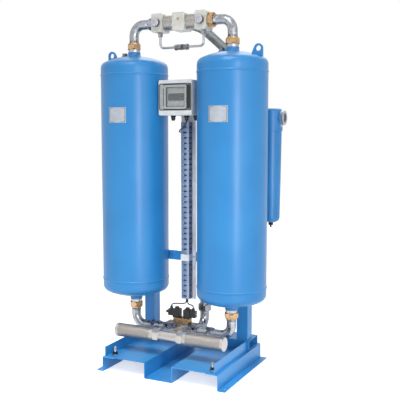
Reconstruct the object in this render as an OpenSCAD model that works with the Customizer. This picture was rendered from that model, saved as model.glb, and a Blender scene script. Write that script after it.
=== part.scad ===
// Twin-tower heatless desiccant air dryer on a folded sheet base.
// X runs across the two towers, -Y is the operating side and the floor is Z = 0.
// The tower axes stand at equal distances either side of X = 0, at Y = 0.

/* [Towers] */
// Outside diameter of a tower
tower_d = 355.6; // [345:0.1:365]
// Wall of a tower
tower_wall = 6; // [4:0.5:8]
// Distance between the tower axes
tower_pitch = 565; // [560:1:600]
// Height of the lower weld seam
seam_z = 455; // [450:1:480]
// Straight shell between the two weld seams
shell_len = 1080; // [1060:1:1200]
// Straight collar of a dished end
head_collar = 36; // [28:1:42]
// Length of a nozzle coupling below or above its dished end
coupling_len = 20; // [17:1:28]
// Outside diameter of a nozzle coupling
coupling_d = 66; // [62:1:74]
// Distance from the tower axis to the lifting lug
lug_offset = 137; // [110:1:140]
// Distance from the tower axis to the fill plug
plug_offset = 58; // [54:1:80]

/* [Piping] */
// Outside diameter of the main pipes
pipe_d = 48.3; // [44:0.1:50]
// Wall of the main pipes
pipe_wall = 3.2; // [2.5:0.1:4]
// Centreline radius of the pipe bends
bend_r = 57; // [50:1:62]
// Straight leg between a union nut and its bend
leg = 34; // [28:1:40]
// Width across the flats of a union nut
union_af = 66; // [62:1:70]
// Height of a union nut
union_h = 34; // [28:1:38]
// Length of the union's tail between nut and coupling
union_tail = 14; // [10:1:18]
// Depth that a pipe end reaches into its socket
socket = 14; // [10:1:18]

/* [Base] */
// Width over the webs of the two rails
base_w = 658; // [650:1:680]
// Depth of the base
base_depth = 570; // [560:1:640]
// Deck behind the cross beam
beam_rear = 36; // [30:1:60]
// Height of the deck
deck_h = 83; // [75:1:90]
// Sheet thickness of the deck and rails
sheet_t = 4; // [3:0.5:5]
// Width of the centre trough
trough_w = 152; // [120:1:180]
// Width of a foot flange
foot_w = 38; // [30:1:50]
// Height of the folded side edges above the deck
upstand_h = 51; // [30:1:55]
// Distance of the folded side edges from the rail webs
upstand_inset = 17; // [10:1:25]
// Diameter of the anchor holes
anchor_d = 14; // [10:1:18]
// Thread diameter of the deck bolts
deck_bolt_d = 16; // [12:1:20]

/* [Posts] */
// Side of a rear post
post_s = 62; // [54:1:68]
// Wall of the posts and of the cross beam
post_wall = 3; // [2:0.5:4]
// Length of a rear post
post_len = 720; // [690:1:800]
// Height of the cross beam
beam_h = 52; // [45:1:60]
// Depth of the cross beam
beam_depth = 124; // [116:1:140]
// Cross beam in front of the posts
beam_lip = 5; // [2:1:8]
// Thickness of a welded pad between a tower and its post
pad_t = 26; // [22:1:30]
// Thread diameter of the post bolts
post_bolt_d = 12; // [8:1:14]

/* [Check valve manifold] */
// Width of a side block
block_w = 62; // [56:1:66]
// Depth of the blocks
block_d = 84; // [78:1:92]
// Height of the blocks
block_h = 93; // [88:1:100]
// Distance between the side block centres
block_pitch = 248; // [240:1:252]
// Width of the centre block
centre_w = 70; // [62:1:74]
// Outside diameter of the ribbed bodies
check_d = 79; // [72:1:82]
// Number of ribs on a ribbed body
check_ribs = 8; // [5:1:9]
// Diameter of the round caps
cap_d = 42; // [34:1:46]
// Diameter of the purge tube
purge_d = 12; // [10:1:14]
// Depth of the purge tube below the blocks
purge_drop = 78; // [70:1:84]

/* [After-filter] */
// Filter axis, distance to the right
filter_x = 400; // [396:1:410]
// Filter axis, distance to the rear
filter_y = 250; // [246:1:262]
// Height of the filter port axis
filter_z = 1312; // [1280:1:1330]
// Diameter of the filter head
filter_head_d = 116; // [112:1:120]
// Height of the filter head
filter_head_h = 96; // [90:1:104]
// Fall of the outlet pipe below the level, in degrees
outlet_fall = 41; // [38:1:46]
// Distance from the filter axis to a port face
port_reach = 72; // [68:1:78]
// Diameter of the bowl at its top
bowl_d = 106; // [100:1:108]
// Diameter of the bowl at its foot
bowl_foot_d = 94; // [88:1:98]
// Length of the bowl
bowl_len = 500; // [440:1:540]
// Wall of the bowl
bowl_wall = 4; // [3:0.5:6]

/* [Control box] */
// Width of the box
box_w = 188; // [180:1:190]
// Height of the box
box_h = 178; // [170:1:190]
// Depth of the box
box_d = 150; // [130:1:160]
// Height of the box's underside
box_z = 1323; // [1315:1:1340]
// Wall of the box
box_wall = 4; // [3:0.5:5]
// Width of the clear window
window_w = 128; // [120:1:134]
// Height of the clear window
window_h = 119; // [110:1:124]
// Diameter of the window's hinge pin
hinge_d = 4; // [3:0.5:5]
// Distance from the tower axes to the front of the mounting strip
strip_y = 74; // [72:1:78]
// Width of the mounting strip
strip_w = 84; // [80:1:90]
// Thickness of the mounting strip and of the braces
strip_t = 5; // [4:1:6]
// Height of a cross brace
brace_h = 50; // [40:1:60]
// Height of the lower brace's centre
brace_z = 575; // [560:1:620]
// Width of the wiring duct
duct_w = 45; // [40:1:48]
// Depth of the wiring duct
duct_d = 40; // [34:1:44]
// Height of the wiring duct's foot
duct_z = 352; // [345:1:380]
// Distance between the duct's slots
slot_pitch = 28; // [24:1:36]

/* [Lower valves] */
// Length of the valve body
valve_len = 300; // [290:1:310]
// Side of the valve body's middle block
valve_s = 68; // [64:1:72]
// Width of the valve body's middle block
valve_w = 196; // [190:1:204]
// Distance of the inlet pipe to the right
inlet_x = 70; // [62:1:72]
// Distance of the inlet pipe to the rear
inlet_y = 128; // [126:1:136]
// Height of the inlet port axis
inlet_z = 640; // [632:1:680]
// Distance of the inlet port face to the rear
inlet_reach = 262; // [254:1:275]
// Distance of the silencers to the front
silencer_y = 147; // [135:1:155]
// Diameter of a silencer
silencer_d = 72; // [66:1:74]
// Length of a silencer
silencer_len = 224; // [200:1:230]
// Width of a solenoid coil
coil_w = 38; // [34:1:40]

/* [Fits] */
// Clearance of pieces that fit in or on one another
fit = 0.3; // [0.2:0.05:0.4]
// Clearance of the window's barrel on its pin, per side
run_fit = 0.05; // [0.03:0.01:0.08]

/* [Hidden] */
$fn = 64;
tower_r = tower_d / 2;
axis_x = tower_pitch / 2;
crown_r = 1.1 * tower_d;
knuckle_r = 0.1 * tower_d;
knuckle_c = tower_r - knuckle_r;
crown_drop = sqrt(pow(crown_r - knuckle_r, 2) - pow(knuckle_c, 2));
crown_angle = asin(knuckle_c / (crown_r - knuckle_r));
head_dish = crown_r - crown_drop;
seam_top = seam_z + shell_len;
apex_low = seam_z - head_collar - head_dish;
apex_top = seam_top + head_collar + head_dish;
nozzle_low = apex_low - coupling_len;
nozzle_top = apex_top + coupling_len;
low_z = nozzle_low - union_tail - union_h - leg - bend_r;
top_z = nozzle_top + union_tail + union_h + leg + bend_r;
pipe_bore = pipe_d - 2 * pipe_wall;
socket_d = pipe_d + 2 * fit;

bead = 2;
bead_w = 6;
lug_r = 23;
lug_hole_r = 13;
lug_t = 10;
lug_flare = 24;
weld = 7;
lug_z = apex_top + 8;
plug_boss_d = 36;
plug_bore = 20;
plug_boss_z = apex_top + 3;
plug_head_h = 14;
plug_shank = 16;
plate_w = 100;
plate_h = 78;
plate_z = 1325;
plate_t = 1.2;
pad_gap = 3;
pad_w = post_s - 2 * post_wall - 2 * pad_gap;
pad_hole = pad_t - 8;
pad_h = 70;
pad_z = [seam_z + 110, seam_z + 310];
screen_t = 4;
screen_z = seam_z + 12;
bed_top = seam_top - 50;
in_r = tower_r - tower_wall;

web_x = base_w / 2;
foot_x = web_x + foot_w;
anchor_x = web_x + foot_w / 2;
anchor_inset = 40;
top_flange = 70;
upstand_x = web_x - upstand_inset;
post_y = tower_r + pad_t + post_wall - post_s;
beam_y = post_y - beam_lip;
beam_z = deck_h + beam_h;
base_back = beam_y + beam_depth + beam_rear;
base_front = base_depth - base_back;
deck_bolt_x = upstand_x - 2 * deck_bolt_d;
deck_bolt_y = 3 * deck_bolt_d - base_front;
beam_bolt_y = (post_y + post_s + beam_y + beam_depth) / 2;
deck_bolt_ys = [deck_bolt_y, beam_bolt_y];
stud_rise = 42;
beam_stud_rise = 24;
beam_len = base_w - 2 * sheet_t;

block_x = block_pitch / 2;
block_foot = top_z - block_h / 2;
check_len = block_x - block_w / 2 - centre_w / 2;
flow_d = 36;
port_run = 8;
outlet_x = filter_x - port_reach - bend_r - port_run;
purge_z = block_foot - purge_drop;
purge_nut = 22;
purge_nut_af = 24;
needle_d = 26;
needle_len = 76;
needle_nut_af = 27;
needle_nut_h = 16;
stem_d = 18;
stem_len = 26;
stem_nut_af = 16;
stem_nut_h = 12;
cap_depth = 10;
cap_out = 24;
cap_shank_d = cap_d - 8;
drain_d = 14;
drain_nut = 16;
drain_nut_af = 24;
drain_spout = 12;

strip_z0 = 345;
strip_z1 = box_z + box_h - 6;
brace_y = strip_y + strip_t;
brace_zs = [brace_z, box_z + box_h / 2];
tab_y = brace_y + strip_t;
tab_x = 78;
tab_t = 6;
tab_root = 0.7 * tower_r;
brace_half = axis_x - sqrt(pow(tower_r, 2) - pow(brace_y, 2)) - 5;
brace_bolt_x = (tab_x + brace_half) / 2;
brace_bolt_d = 8;
duct_top = box_z - 33;
duct_t = 2;
duct_front = strip_y - duct_d;
box_y = strip_y - box_d;
box_mid_z = box_z + box_h / 2;
window_z = box_z + 33;
window_t = 6;
barrel_d = hinge_d + 5;
hinge_y = box_y - barrel_d / 2 - fit;
hinge_x = -window_w / 2 - barrel_d / 2 - 2 * fit;
knuckle_len = 16;
view_w = window_w - 20;
view_h = window_h - 20;
gland_xs = [-50, 27, 80];
gland_y = box_y + box_d / 2;
gland_d = 26;
gland_len = 26;
gland_shank_d = gland_d - 6;
lead_d = 6;
duct_mid_y = duct_front + duct_d / 2;
slot_h = 8;
front_slot = 0.5 * duct_w;
slot_z0 = duct_z + 12;
slot_count = floor((duct_top - duct_z - 30) / slot_pitch);
lead_slot_z = slot_z0 + (slot_count - 1) * slot_pitch + slot_h / 2;

valve_x = valve_len / 2;
arm_d = 62;
tee_half = 51;
nut_w = 36;
cap_skirt = 16;
sleeve_step = 1.2;
tee_d = 58;
tee_nut_af = 64;
tee_neck_d = 60;
tee_neck = 48;
pilot_h = 30;
pilot_tube_d = 14;
coil_h = 46;
coil_x = 31;
coil_z = low_z + valve_s / 2 + pilot_h;
plug_w = 30;
plug_h = 34;
plug_foot = 8;
spout_d = 15;
spout_len = 14;
spout_z = coil_z + plug_foot + plug_h + spout_len;
spout_x = coil_x + coil_w / 2 + plug_w / 2;

lead_y = strip_y - 8;
coil_lead = [[spout_x, 0, spout_z], [spout_x, 0, spout_z + 32], [6, lead_y, duct_z - 36],
    [6, lead_y, duct_z + 6]];
box_lead_route = [[gland_xs[1], gland_y, box_z - gland_len], [gland_xs[1], gland_y, box_z - gland_len - 50],
    [duct_w / 2 + 34, duct_mid_y, lead_slot_z], [duct_w / 2 - 5, duct_mid_y, lead_slot_z]];

steel_grey = [0.72, 0.73, 0.74];
tower_blue = [0.24, 0.53, 0.78];
brass_tone = [0.78, 0.62, 0.33];
cream = [0.86, 0.87, 0.84];
box_grey = [0.68, 0.70, 0.71];
black_tone = [0.10, 0.10, 0.11];
bead_white = [0.93, 0.92, 0.88];

function unit(v) = v / norm(v);

// Points of a dished end from the axis out to its collar; up is 1 for a top end and -1 for a bottom end.
function head_points(inset, z, up) = concat(
    [for (i = [0 : 9]) let (a = crown_angle * i / 9)
        [(crown_r - inset) * sin(a), z + up * ((crown_r - inset) * cos(a) - crown_drop)]],
    [for (i = [1 : 8]) let (a = crown_angle + (90 - crown_angle) * i / 8)
        [knuckle_c + (knuckle_r - inset) * sin(a), z + up * (knuckle_r - inset) * cos(a)]]);

function reversed(list) = [for (i = [len(list) - 1 : -1 : 0]) list[i]];

// Points of a weld bead on the shell at height z.
function bead_points(z) = [[tower_r, z - bead_w], [tower_r + bead, z], [tower_r, z + bead_w]];

module frame(p, x, y) {
    z = cross(x, y);
    multmatrix([[x[0], y[0], z[0], p[0]], [x[1], y[1], z[1], p[1]], [x[2], y[2], z[2], p[2]]]) children();
}

// Round bar along straight runs joined by bends of radius r.
module bar_run(pts, d, r) {
    n = len(pts);
    dirs = [for (i = [0 : n - 2]) unit(pts[i + 1] - pts[i])];
    cut = [for (i = [0 : n - 1]) (i == 0 || i == n - 1) ? 0 : r * tan(acos(dirs[i - 1] * dirs[i]) / 2)];
    upright = abs(dirs[0][2]) > 0.9 ? [1, 0, 0] : [0, 0, 1];
    for (i = [0 : n - 2]) {
        start = pts[i] + cut[i] * dirs[i];
        side = n == 2 ? unit(cross(upright, dirs[0])) : unit(cross(dirs[max(i - 1, 0)], dirs[max(i, 1)]));
        length = norm(pts[i + 1] - pts[i]) - cut[i] - cut[i + 1];
        frame(start, side, cross(dirs[i], side)) cylinder(d = d, h = length);
    }
    for (i = [1 : 1 : n - 2]) {
        inward = unit(dirs[i] - (dirs[i] * dirs[i - 1]) * dirs[i - 1]);
        start = pts[i] - cut[i] * dirs[i - 1];
        frame(start + r * inward, -inward, dirs[i - 1])
            rotate_extrude(angle = acos(dirs[i - 1] * dirs[i])) translate([r, 0]) circle(d = d);
    }
}

module pipe_run(pts, d, bore, r) {
    difference() {
        bar_run(pts, d, r);
        bar_run(pts, bore, r);
        for (e = [[0, 1], [len(pts) - 1, len(pts) - 2]]) {
            out = unit(pts[e[0]] - pts[e[1]]);
            bar_run([pts[e[0]] - out, pts[e[0]] + out], bore, r);
        }
    }
}

// Point and direction at share t of the curve with four control points.
function curve_point(p, t) = pow(1 - t, 3) * p[0] + 3 * t * pow(1 - t, 2) * p[1]
    + 3 * t * t * (1 - t) * p[2] + pow(t, 3) * p[3];
function curve_dir(p, t) = unit(pow(1 - t, 2) * (p[1] - p[0]) + 2 * t * (1 - t) * (p[2] - p[1])
    + t * t * (p[3] - p[2]));

// Round lead swept along a curve.
module lead(p, d) {
    sides = 10;
    rings = 16;
    points = [for (i = [0 : rings]) let (c = curve_point(p, i / rings), w = curve_dir(p, i / rings),
        u = unit(cross([0.3, 0.9, 0.2], w)), v = cross(w, u))
        for (k = [0 : sides - 1]) c + d / 2 * (cos(360 * k / sides) * u + sin(360 * k / sides) * v)];
    skin = [for (i = [0 : rings - 1], k = [0 : sides - 1]) let (a = i * sides, n = (k + 1) % sides)
        each [[a + k, a + sides + k, a + sides + n], [a + k, a + sides + n, a + n]]];
    polyhedron(points, concat(skin, [[for (k = [0 : sides - 1]) k]],
        [[for (k = [sides - 1 : -1 : 0]) rings * sides + k]]));
}

module rounded_rect(w, h, r) {
    square([w - 2 * r, h], center = true);
    square([w, h - 2 * r], center = true);
    for (x = [-1, 1], y = [-1, 1]) translate([x * (w / 2 - r), y * (h / 2 - r)]) circle(r = r);
}

// Hex nut with chamfered ends along +Z.
module hex_nut(af, h, bore) {
    c = 0.09 * af;
    difference() {
        intersection() {
            cylinder(d = af / cos(30), h = h, $fn = 6);
            rotate_extrude() polygon([[0, 0], [af / 2, 0], [af / 2 + c, c], [af / 2 + c, h - c],
                [af / 2, h], [0, h]]);
        }
        if (bore > 0) translate([0, 0, -1]) cylinder(d = bore, h = h + 2);
    }
}

module bolt(d, length) {
    translate([0, 0, -length]) cylinder(d = d, h = length);
    cylinder(d = 2.2 * d, h = 0.2 * d);
    translate([0, 0, 0.2 * d]) hex_nut(1.6 * d, 0.65 * d, 0);
}

// Folded sheet: two deck panels, the centre trough between them and the upturned side edges.
module base_deck() {
    u = upstand_x;
    w = trough_w / 2;
    t = sheet_t;
    edge_end = beam_y - 6;
    color(tower_blue) difference() {
        union() {
            translate([0, base_back, 0]) rotate([90, 0, 0]) linear_extrude(base_depth)
                polygon([[-u, deck_h - t], [-w - t, deck_h - t], [-w - t, 0], [w + t, 0],
                    [w + t, deck_h - t], [u, deck_h - t], [u, deck_h], [w, deck_h], [w, t], [-w, t],
                    [-w, deck_h], [-u, deck_h]]);
            for (s = [-1, 1]) translate([s * (u - t / 2) - t / 2, -base_front, deck_h - t])
                cube([t, base_front + edge_end, upstand_h + t]);
        }
        for (s = [-1, 1], y = deck_bolt_ys)
            translate([s * deck_bolt_x, y, deck_h - t - 1]) cylinder(d = deck_bolt_d + 2 * fit, h = t + 2);
    }
}

// Z rail: outward foot flange, web and inward top flange under the deck.
module rail(side) {
    t = sheet_t;
    top = deck_h - sheet_t;
    color(tower_blue) difference() {
        mirror([side < 0 ? 1 : 0, 0, 0]) translate([0, base_back, 0]) rotate([90, 0, 0])
            linear_extrude(base_depth) polygon([[web_x - t, 0], [web_x - t, top - t],
                [web_x - top_flange, top - t], [web_x - top_flange, top], [web_x, top], [web_x, t],
                [foot_x, t], [foot_x, 0]]);
        for (y = [-base_front + anchor_inset, base_back - anchor_inset])
            translate([side * anchor_x, y, -1]) cylinder(d = anchor_d, h = t + 2);
        for (y = deck_bolt_ys)
            translate([side * deck_bolt_x, y, top - t - 1]) cylinder(d = deck_bolt_d + 2 * fit, h = t + 2);
    }
}

module rail_left() rail(-1);
module rail_right() rail(1);

// Studs with a nut, two on the deck in front and two on the cross beam.
module deck_bolts() {
    washer = 0.2 * deck_bolt_d;
    color(steel_grey)
        for (s = [-1, 1], q = [[deck_bolt_y, deck_h, stud_rise], [beam_bolt_y, beam_z, beam_stud_rise]])
            translate([s * deck_bolt_x, q[0], q[1]]) {
                translate([0, 0, deck_h - 2 * sheet_t - q[1]])
                    cylinder(d = deck_bolt_d, h = q[1] + q[2] - deck_h + 2 * sheet_t);
                cylinder(d = 2.2 * deck_bolt_d, h = washer);
                translate([0, 0, washer]) hex_nut(1.5 * deck_bolt_d, 0.8 * deck_bolt_d, 0);
            }
}

module cross_beam() {
    color(tower_blue) translate([-beam_len / 2, beam_y, deck_h]) difference() {
        cube([beam_len, beam_depth, beam_h]);
        translate([-1, post_wall, post_wall])
            cube([beam_len + 2, beam_depth - 2 * post_wall, beam_h - 2 * post_wall]);
        for (s = [-1, 1]) translate([beam_len / 2 + s * deck_bolt_x, beam_bolt_y - beam_y, -1])
            cylinder(d = deck_bolt_d + 2 * fit, h = beam_h + 2);
    }
}

// Square tube with a closed top, notched to the tower it carries and drilled behind for the pad bolts.
module post(side) {
    hug = tower_r + fit;
    color(tower_blue) translate([side * axis_x, 0, 0]) difference() {
        translate([-post_s / 2, post_y, beam_z]) cube([post_s, post_s, post_len]);
        translate([-post_s / 2 + post_wall, post_y + post_wall, beam_z - 1])
            cube([post_s - 2 * post_wall, post_s - 2 * post_wall, post_len - post_wall + 1]);
        rotate_extrude($fn = 128) polygon(concat(head_points(-fit, seam_z - head_collar, -1),
            [[hug, seam_z - 2 * bead_w], [hug + bead, seam_z - bead_w], [hug + bead, seam_z + bead_w],
                [hug, seam_z + 2 * bead_w], [hug, beam_z + post_len + 1], [0, beam_z + post_len + 1]]));
        for (z = pad_z) translate([0, post_y + post_s - post_wall - 1, z]) rotate([-90, 0, 0])
            cylinder(d = post_bolt_d + 2 * fit, h = post_wall + 2);
    }
}

module post_left() post(-1);
module post_right() post(1);

// Lifting lug: flat plate with a round head and an eye, flared inwards to its root in the dished end.
module lug(side) {
    root = lug_z - seam_top - head_collar;
    tip = lug_r * [cos(lug_flare), sin(lug_flare)];
    translate([side * lug_offset, lug_t / 2, lug_z]) rotate([90, 0, 0]) mirror([side < 0 ? 1 : 0, 0, 0])
        linear_extrude(lug_t) difference() {
            union() {
                circle(r = lug_r);
                polygon([[lug_r, 0], [lug_r, -root], [-tip[0] - (root + tip[1]) * tan(lug_flare), -root],
                    [-tip[0], tip[1]], [0, lug_r]]);
            }
            circle(r = lug_hole_r);
        }
}

// Welded pressure vessel: shell, dished ends, couplings, lug, fill boss, post pads and brace tabs.
module vessel(side) {
    low_head = seam_z - head_collar;
    top_head = seam_top + head_collar;
    neck = coupling_d / 2;
    color(tower_blue) translate([side * axis_x, 0, 0]) difference() {
        union() {
            rotate_extrude($fn = 128) polygon(concat(head_points(0, low_head, -1), bead_points(seam_z),
                bead_points(seam_top), reversed(head_points(0, top_head, 1))));
            rotate_extrude() polygon([[0, nozzle_low], [neck, nozzle_low], [neck, apex_low - weld],
                [neck + weld, apex_low + weld / 2], [neck + weld, apex_top - weld / 2],
                [neck, apex_top + weld], [neck, nozzle_top], [0, nozzle_top]]);
            lug(side);
            translate([-plug_offset, 0, top_head]) cylinder(d = plug_boss_d, h = plug_boss_z - top_head);
            for (z = pad_z) translate([-pad_w / 2, tower_r - tower_wall, z - pad_h / 2])
                cube([pad_w, pad_t + tower_wall, pad_h]);
            for (z = brace_zs) mirror([side > 0 ? 1 : 0, 0, 0])
                translate([tab_root, tab_y, z - brace_h / 2])
                    cube([axis_x - tab_x - tab_root, tab_t, brace_h]);
        }
        rotate_extrude($fn = 128) polygon(concat(head_points(tower_wall, low_head, -1),
            reversed(head_points(tower_wall, top_head, 1))));
        for (z = [nozzle_low - 1, apex_top - tower_wall - 4])
            translate([0, 0, z]) cylinder(d = socket_d, h = coupling_len + tower_wall + 5);
        translate([-plug_offset, 0, top_head - 10]) cylinder(d = plug_bore, h = 120);
        for (z = pad_z) translate([0, tower_r + pad_t - pad_hole, z]) rotate([-90, 0, 0])
            cylinder(d = post_bolt_d + 2 * fit, h = pad_hole + 1);
        for (z = brace_zs) translate([-side * (axis_x - brace_bolt_x), tab_y - 1, z]) rotate([-90, 0, 0])
            cylinder(d = brace_bolt_d + 2 * fit, h = tab_t + 2);
    }
}

module vessel_left() vessel(-1);
module vessel_right() vessel(1);

module bed(side) {
    color(bead_white) translate([side * axis_x, 0, screen_z + screen_t])
        cylinder(r = in_r - fit, h = bed_top - screen_z - screen_t);
}

module bed_left() bed(-1);
module bed_right() bed(1);

// Perforated support plate under a bed.
module screen(side) {
    color(steel_grey) translate([side * axis_x, 0, screen_z]) difference() {
        cylinder(r = in_r - fit, h = screen_t);
        for (ring = [1 : 3], k = [0 : 6 * ring - 1]) rotate(60 * k / ring) translate([ring * 44, 0, -1])
            cylinder(d = 14, h = screen_t + 2);
    }
}

module screen_left() screen(-1);
module screen_right() screen(1);

module fill_plugs() {
    color(steel_grey) for (s = [-1, 1]) translate([s * axis_x - plug_offset, 0, plug_boss_z]) {
        translate([0, 0, -plug_shank]) cylinder(d = plug_bore - 2 * fit, h = plug_shank);
        hex_nut(1.35 * plug_bore, plug_head_h, 0);
    }
}

// Plain rating plate curved to the shell.
module nameplate(side) {
    color(steel_grey) translate([side * axis_x, 0, plate_z]) intersection() {
        difference() {
            cylinder(r = tower_r + fit + plate_t, h = plate_h, center = true, $fn = 128);
            cylinder(r = tower_r + fit, h = plate_h + 2, center = true, $fn = 128);
        }
        translate([0, -tower_r, 0]) cube([plate_w, tower_r, plate_h], center = true);
    }
}

module nameplate_left() nameplate(-1);
module nameplate_right() nameplate(1);

// Union: tail on the coupling, nut, and a short collar on its outer side; up is 1 above a tower, -1 below.
module union_nut(side, up) {
    seat = up > 0 ? nozzle_top : nozzle_low;
    collar = 6;
    color(brass_tone) translate([side * axis_x, 0, seat]) mirror([0, 0, up > 0 ? 0 : 1]) {
        tube_ring(coupling_d - 6, union_tail);
        translate([0, 0, union_tail]) hex_nut(union_af, union_h - collar, socket_d);
        translate([0, 0, union_tail + union_h - collar]) tube_ring(union_af - 8, collar);
    }
}

// Ring round a pipe, with the bore of a pipe socket.
module tube_ring(d, h) {
    difference() {
        cylinder(d = d, h = h);
        translate([0, 0, -1]) cylinder(d = socket_d, h = h + 2);
    }
}

module union_top_left() union_nut(-1, 1);
module union_top_right() union_nut(1, 1);
module union_bottom_left() union_nut(-1, -1);
module union_bottom_right() union_nut(1, -1);

// Bent pipe from a tower nozzle in to a socket whose face is at face_x, with a hex collar on its run.
module elbow(side, up, face_x, collar) {
    run_z = up > 0 ? top_z : low_z;
    start = (up > 0 ? nozzle_top : nozzle_low) - up * socket;
    color(steel_grey) mirror([side < 0 ? 1 : 0, 0, 0]) {
        pipe_run([[axis_x, 0, start], [axis_x, 0, run_z], [face_x - socket, 0, run_z]],
            pipe_d, pipe_bore, bend_r);
        if (collar) translate([face_x + 4, 0, run_z]) rotate([0, 90, 0])
            hex_nut(1.16 * pipe_d, 28, pipe_d - 1);
    }
}

module elbow_top_left() elbow(-1, 1, block_x + block_w / 2, true);
module elbow_top_right() elbow(1, 1, block_x + block_w / 2, false);
module elbow_bottom_left() elbow(-1, -1, valve_x, true);
module elbow_bottom_right() elbow(1, -1, valve_x, true);

// Chamfered block, w by d by h, centred.
module chamfered_block(w, d, h, c) {
    x = w / 2;
    y = h / 2;
    translate([0, d / 2, 0]) rotate([90, 0, 0]) linear_extrude(d) polygon([[-x + c, -y], [x - c, -y],
        [x, -y + c], [x, y - c], [x - c, y], [-x + c, y], [-x, y - c], [-x, -y + c]]);
}

// Side block: pipe socket outside, flow bore, cap seat in front and purge port below.
module side_block(side) {
    color(cream) translate([side * block_x, 0, top_z]) difference() {
        chamfered_block(block_w, block_d, block_h, 5);
        rotate([0, 90, 0]) cylinder(d = flow_d, h = block_w + 2, center = true);
        translate([side * (block_w / 2 - socket), 0, 0]) rotate([0, side * 90, 0])
            cylinder(d = socket_d, h = socket + 1);
        translate([0, -block_d / 2 + cap_depth + 1, 0]) rotate([90, 0, 0])
            cylinder(d = cap_shank_d + 2 * fit, h = 40);
        translate([0, 0, -block_h / 2 - 1]) cylinder(d = purge_d + 2 * fit, h = block_h / 2);
    }
}

module block_left() side_block(-1);
module block_right() side_block(1);

module block_centre() {
    color(cream) translate([0, 0, top_z]) difference() {
        chamfered_block(centre_w, block_d, block_h - 3, 5);
        rotate([0, 90, 0]) cylinder(d = flow_d, h = centre_w + 2, center = true);
        rotate([-90, 0, 0]) cylinder(d = flow_d, h = block_d / 2 + 1);
        translate([0, block_d / 2 - socket, 0]) rotate([-90, 0, 0]) cylinder(d = socket_d, h = socket + 1);
        translate([0, -block_d / 2 + 4, 12]) rotate([90, 0, 0]) cylinder(d = 9, h = 8);
    }
}

// Ribbed check valve body between two blocks.
module check_body(side) {
    pitch = check_len / check_ribs;
    groove = 2.4;
    color(steel_grey) translate([side * (centre_w + check_len) / 2, 0, top_z]) rotate([0, 90, 0])
        translate([0, 0, -check_len / 2]) rotate_extrude() polygon(concat([[flow_d / 2, 0]],
            [for (i = [0 : check_ribs - 1], q = [[0, 0], [0.55, 0], [0.65, groove], [0.9, groove]])
                [check_d / 2 - q[1], (i + q[0]) * pitch]],
            [[check_d / 2 - groove, check_len], [flow_d / 2, check_len]]));
}

module check_body_left() check_body(-1);
module check_body_right() check_body(1);

module block_caps() {
    color(steel_grey) for (s = [-1, 1]) translate([s * block_x, -block_d / 2, top_z]) rotate([90, 0, 0]) {
        translate([0, 0, -cap_depth]) cylinder(d = cap_shank_d, h = cap_depth);
        rotate_extrude() polygon([[0, 0], [cap_d / 2, 0], [cap_d / 2, cap_out - 3],
            [cap_d / 2 - 3, cap_out], [9, cap_out], [8, cap_out - 2], [0, cap_out - 2]]);
    }
}

module manifold_union() {
    color(brass_tone) translate([block_x + block_w / 2, 0, top_z]) rotate([0, 90, 0])
        hex_nut(union_af, union_h - 4, socket_d);
}

// Purge line: U tube from block to block.
module purge_tube() {
    end_z = block_foot + 10;
    color(steel_grey) pipe_run([[-block_x, 0, end_z], [-block_x, 0, purge_z], [block_x, 0, purge_z],
        [block_x, 0, end_z]], purge_d, purge_d - 3, 22);
}

module purge_valve() {
    color(black_tone) translate([0, 0, purge_z]) difference() {
        union() {
            rotate([0, 90, 0]) cylinder(d = needle_d, h = needle_len, center = true);
            for (s = [-1, 1]) translate([s * (needle_len - needle_nut_h) / 2 - needle_nut_h / 2, 0, 0])
                rotate([0, 90, 0]) hex_nut(needle_nut_af, needle_nut_h, 0);
            rotate([90, 0, 0]) cylinder(d = stem_d, h = stem_len);
            translate([0, -stem_len, 0]) rotate([90, 0, 0]) hex_nut(stem_nut_af, stem_nut_h, 0);
        }
        rotate([0, 90, 0]) cylinder(d = purge_d + 2 * fit, h = needle_len + 2, center = true);
    }
}

module purge_fittings() {
    color(steel_grey) for (s = [-1, 1]) translate([s * block_x, 0, block_foot - purge_nut])
        hex_nut(purge_nut_af, purge_nut, purge_d + 2 * fit);
}

// Outlet pipe: back from the centre block, slanting down to a hex coupling, then down and into the filter.
module outlet_pipe() {
    slant = 90 - outlet_fall;
    cut = bend_r * tan(slant / 2);
    run = outlet_x / cos(outlet_fall) - cut;
    gap = 1;
    nut = 40;
    color(steel_grey) translate([0, filter_y, top_z]) {
        rotate([0, -slant, 0]) {
            pipe_run([[0, block_d / 2 - socket - filter_y, 0], [0, 0, 0], [0, 0, gap - run]],
                pipe_d, pipe_bore, bend_r);
            translate([0, 0, -run - nut / 2]) hex_nut(pipe_d + 14, nut, pipe_bore + 2);
        }
        translate([outlet_x, 0, 0]) difference() {
            outlet_tail(pipe_d, slant, 0);
            outlet_tail(pipe_bore, slant, 1);
        }
    }
}

// Bar along the tail of the outlet pipe: knee, drop, bend and the run into the filter's port.
module outlet_tail(d, slant, over) {
    knee = -outlet_x * tan(outlet_fall) - bend_r * tan(slant / 2);
    low = filter_z - top_z;
    frame([-bend_r, 0, knee], [1, 0, 0], [0, 0, 1])
        rotate_extrude(angle = slant) translate([bend_r, 0]) circle(d = d);
    translate([0, 0, low + bend_r]) cylinder(d = d, h = knee - low - bend_r);
    frame([bend_r, 0, low + bend_r], [-1, 0, 0], [0, 0, -1])
        rotate_extrude(angle = 90) translate([bend_r, 0]) circle(d = d);
    translate([bend_r, 0, low]) rotate([0, 90, 0]) cylinder(d = d, h = port_run + socket + over);
}

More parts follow.
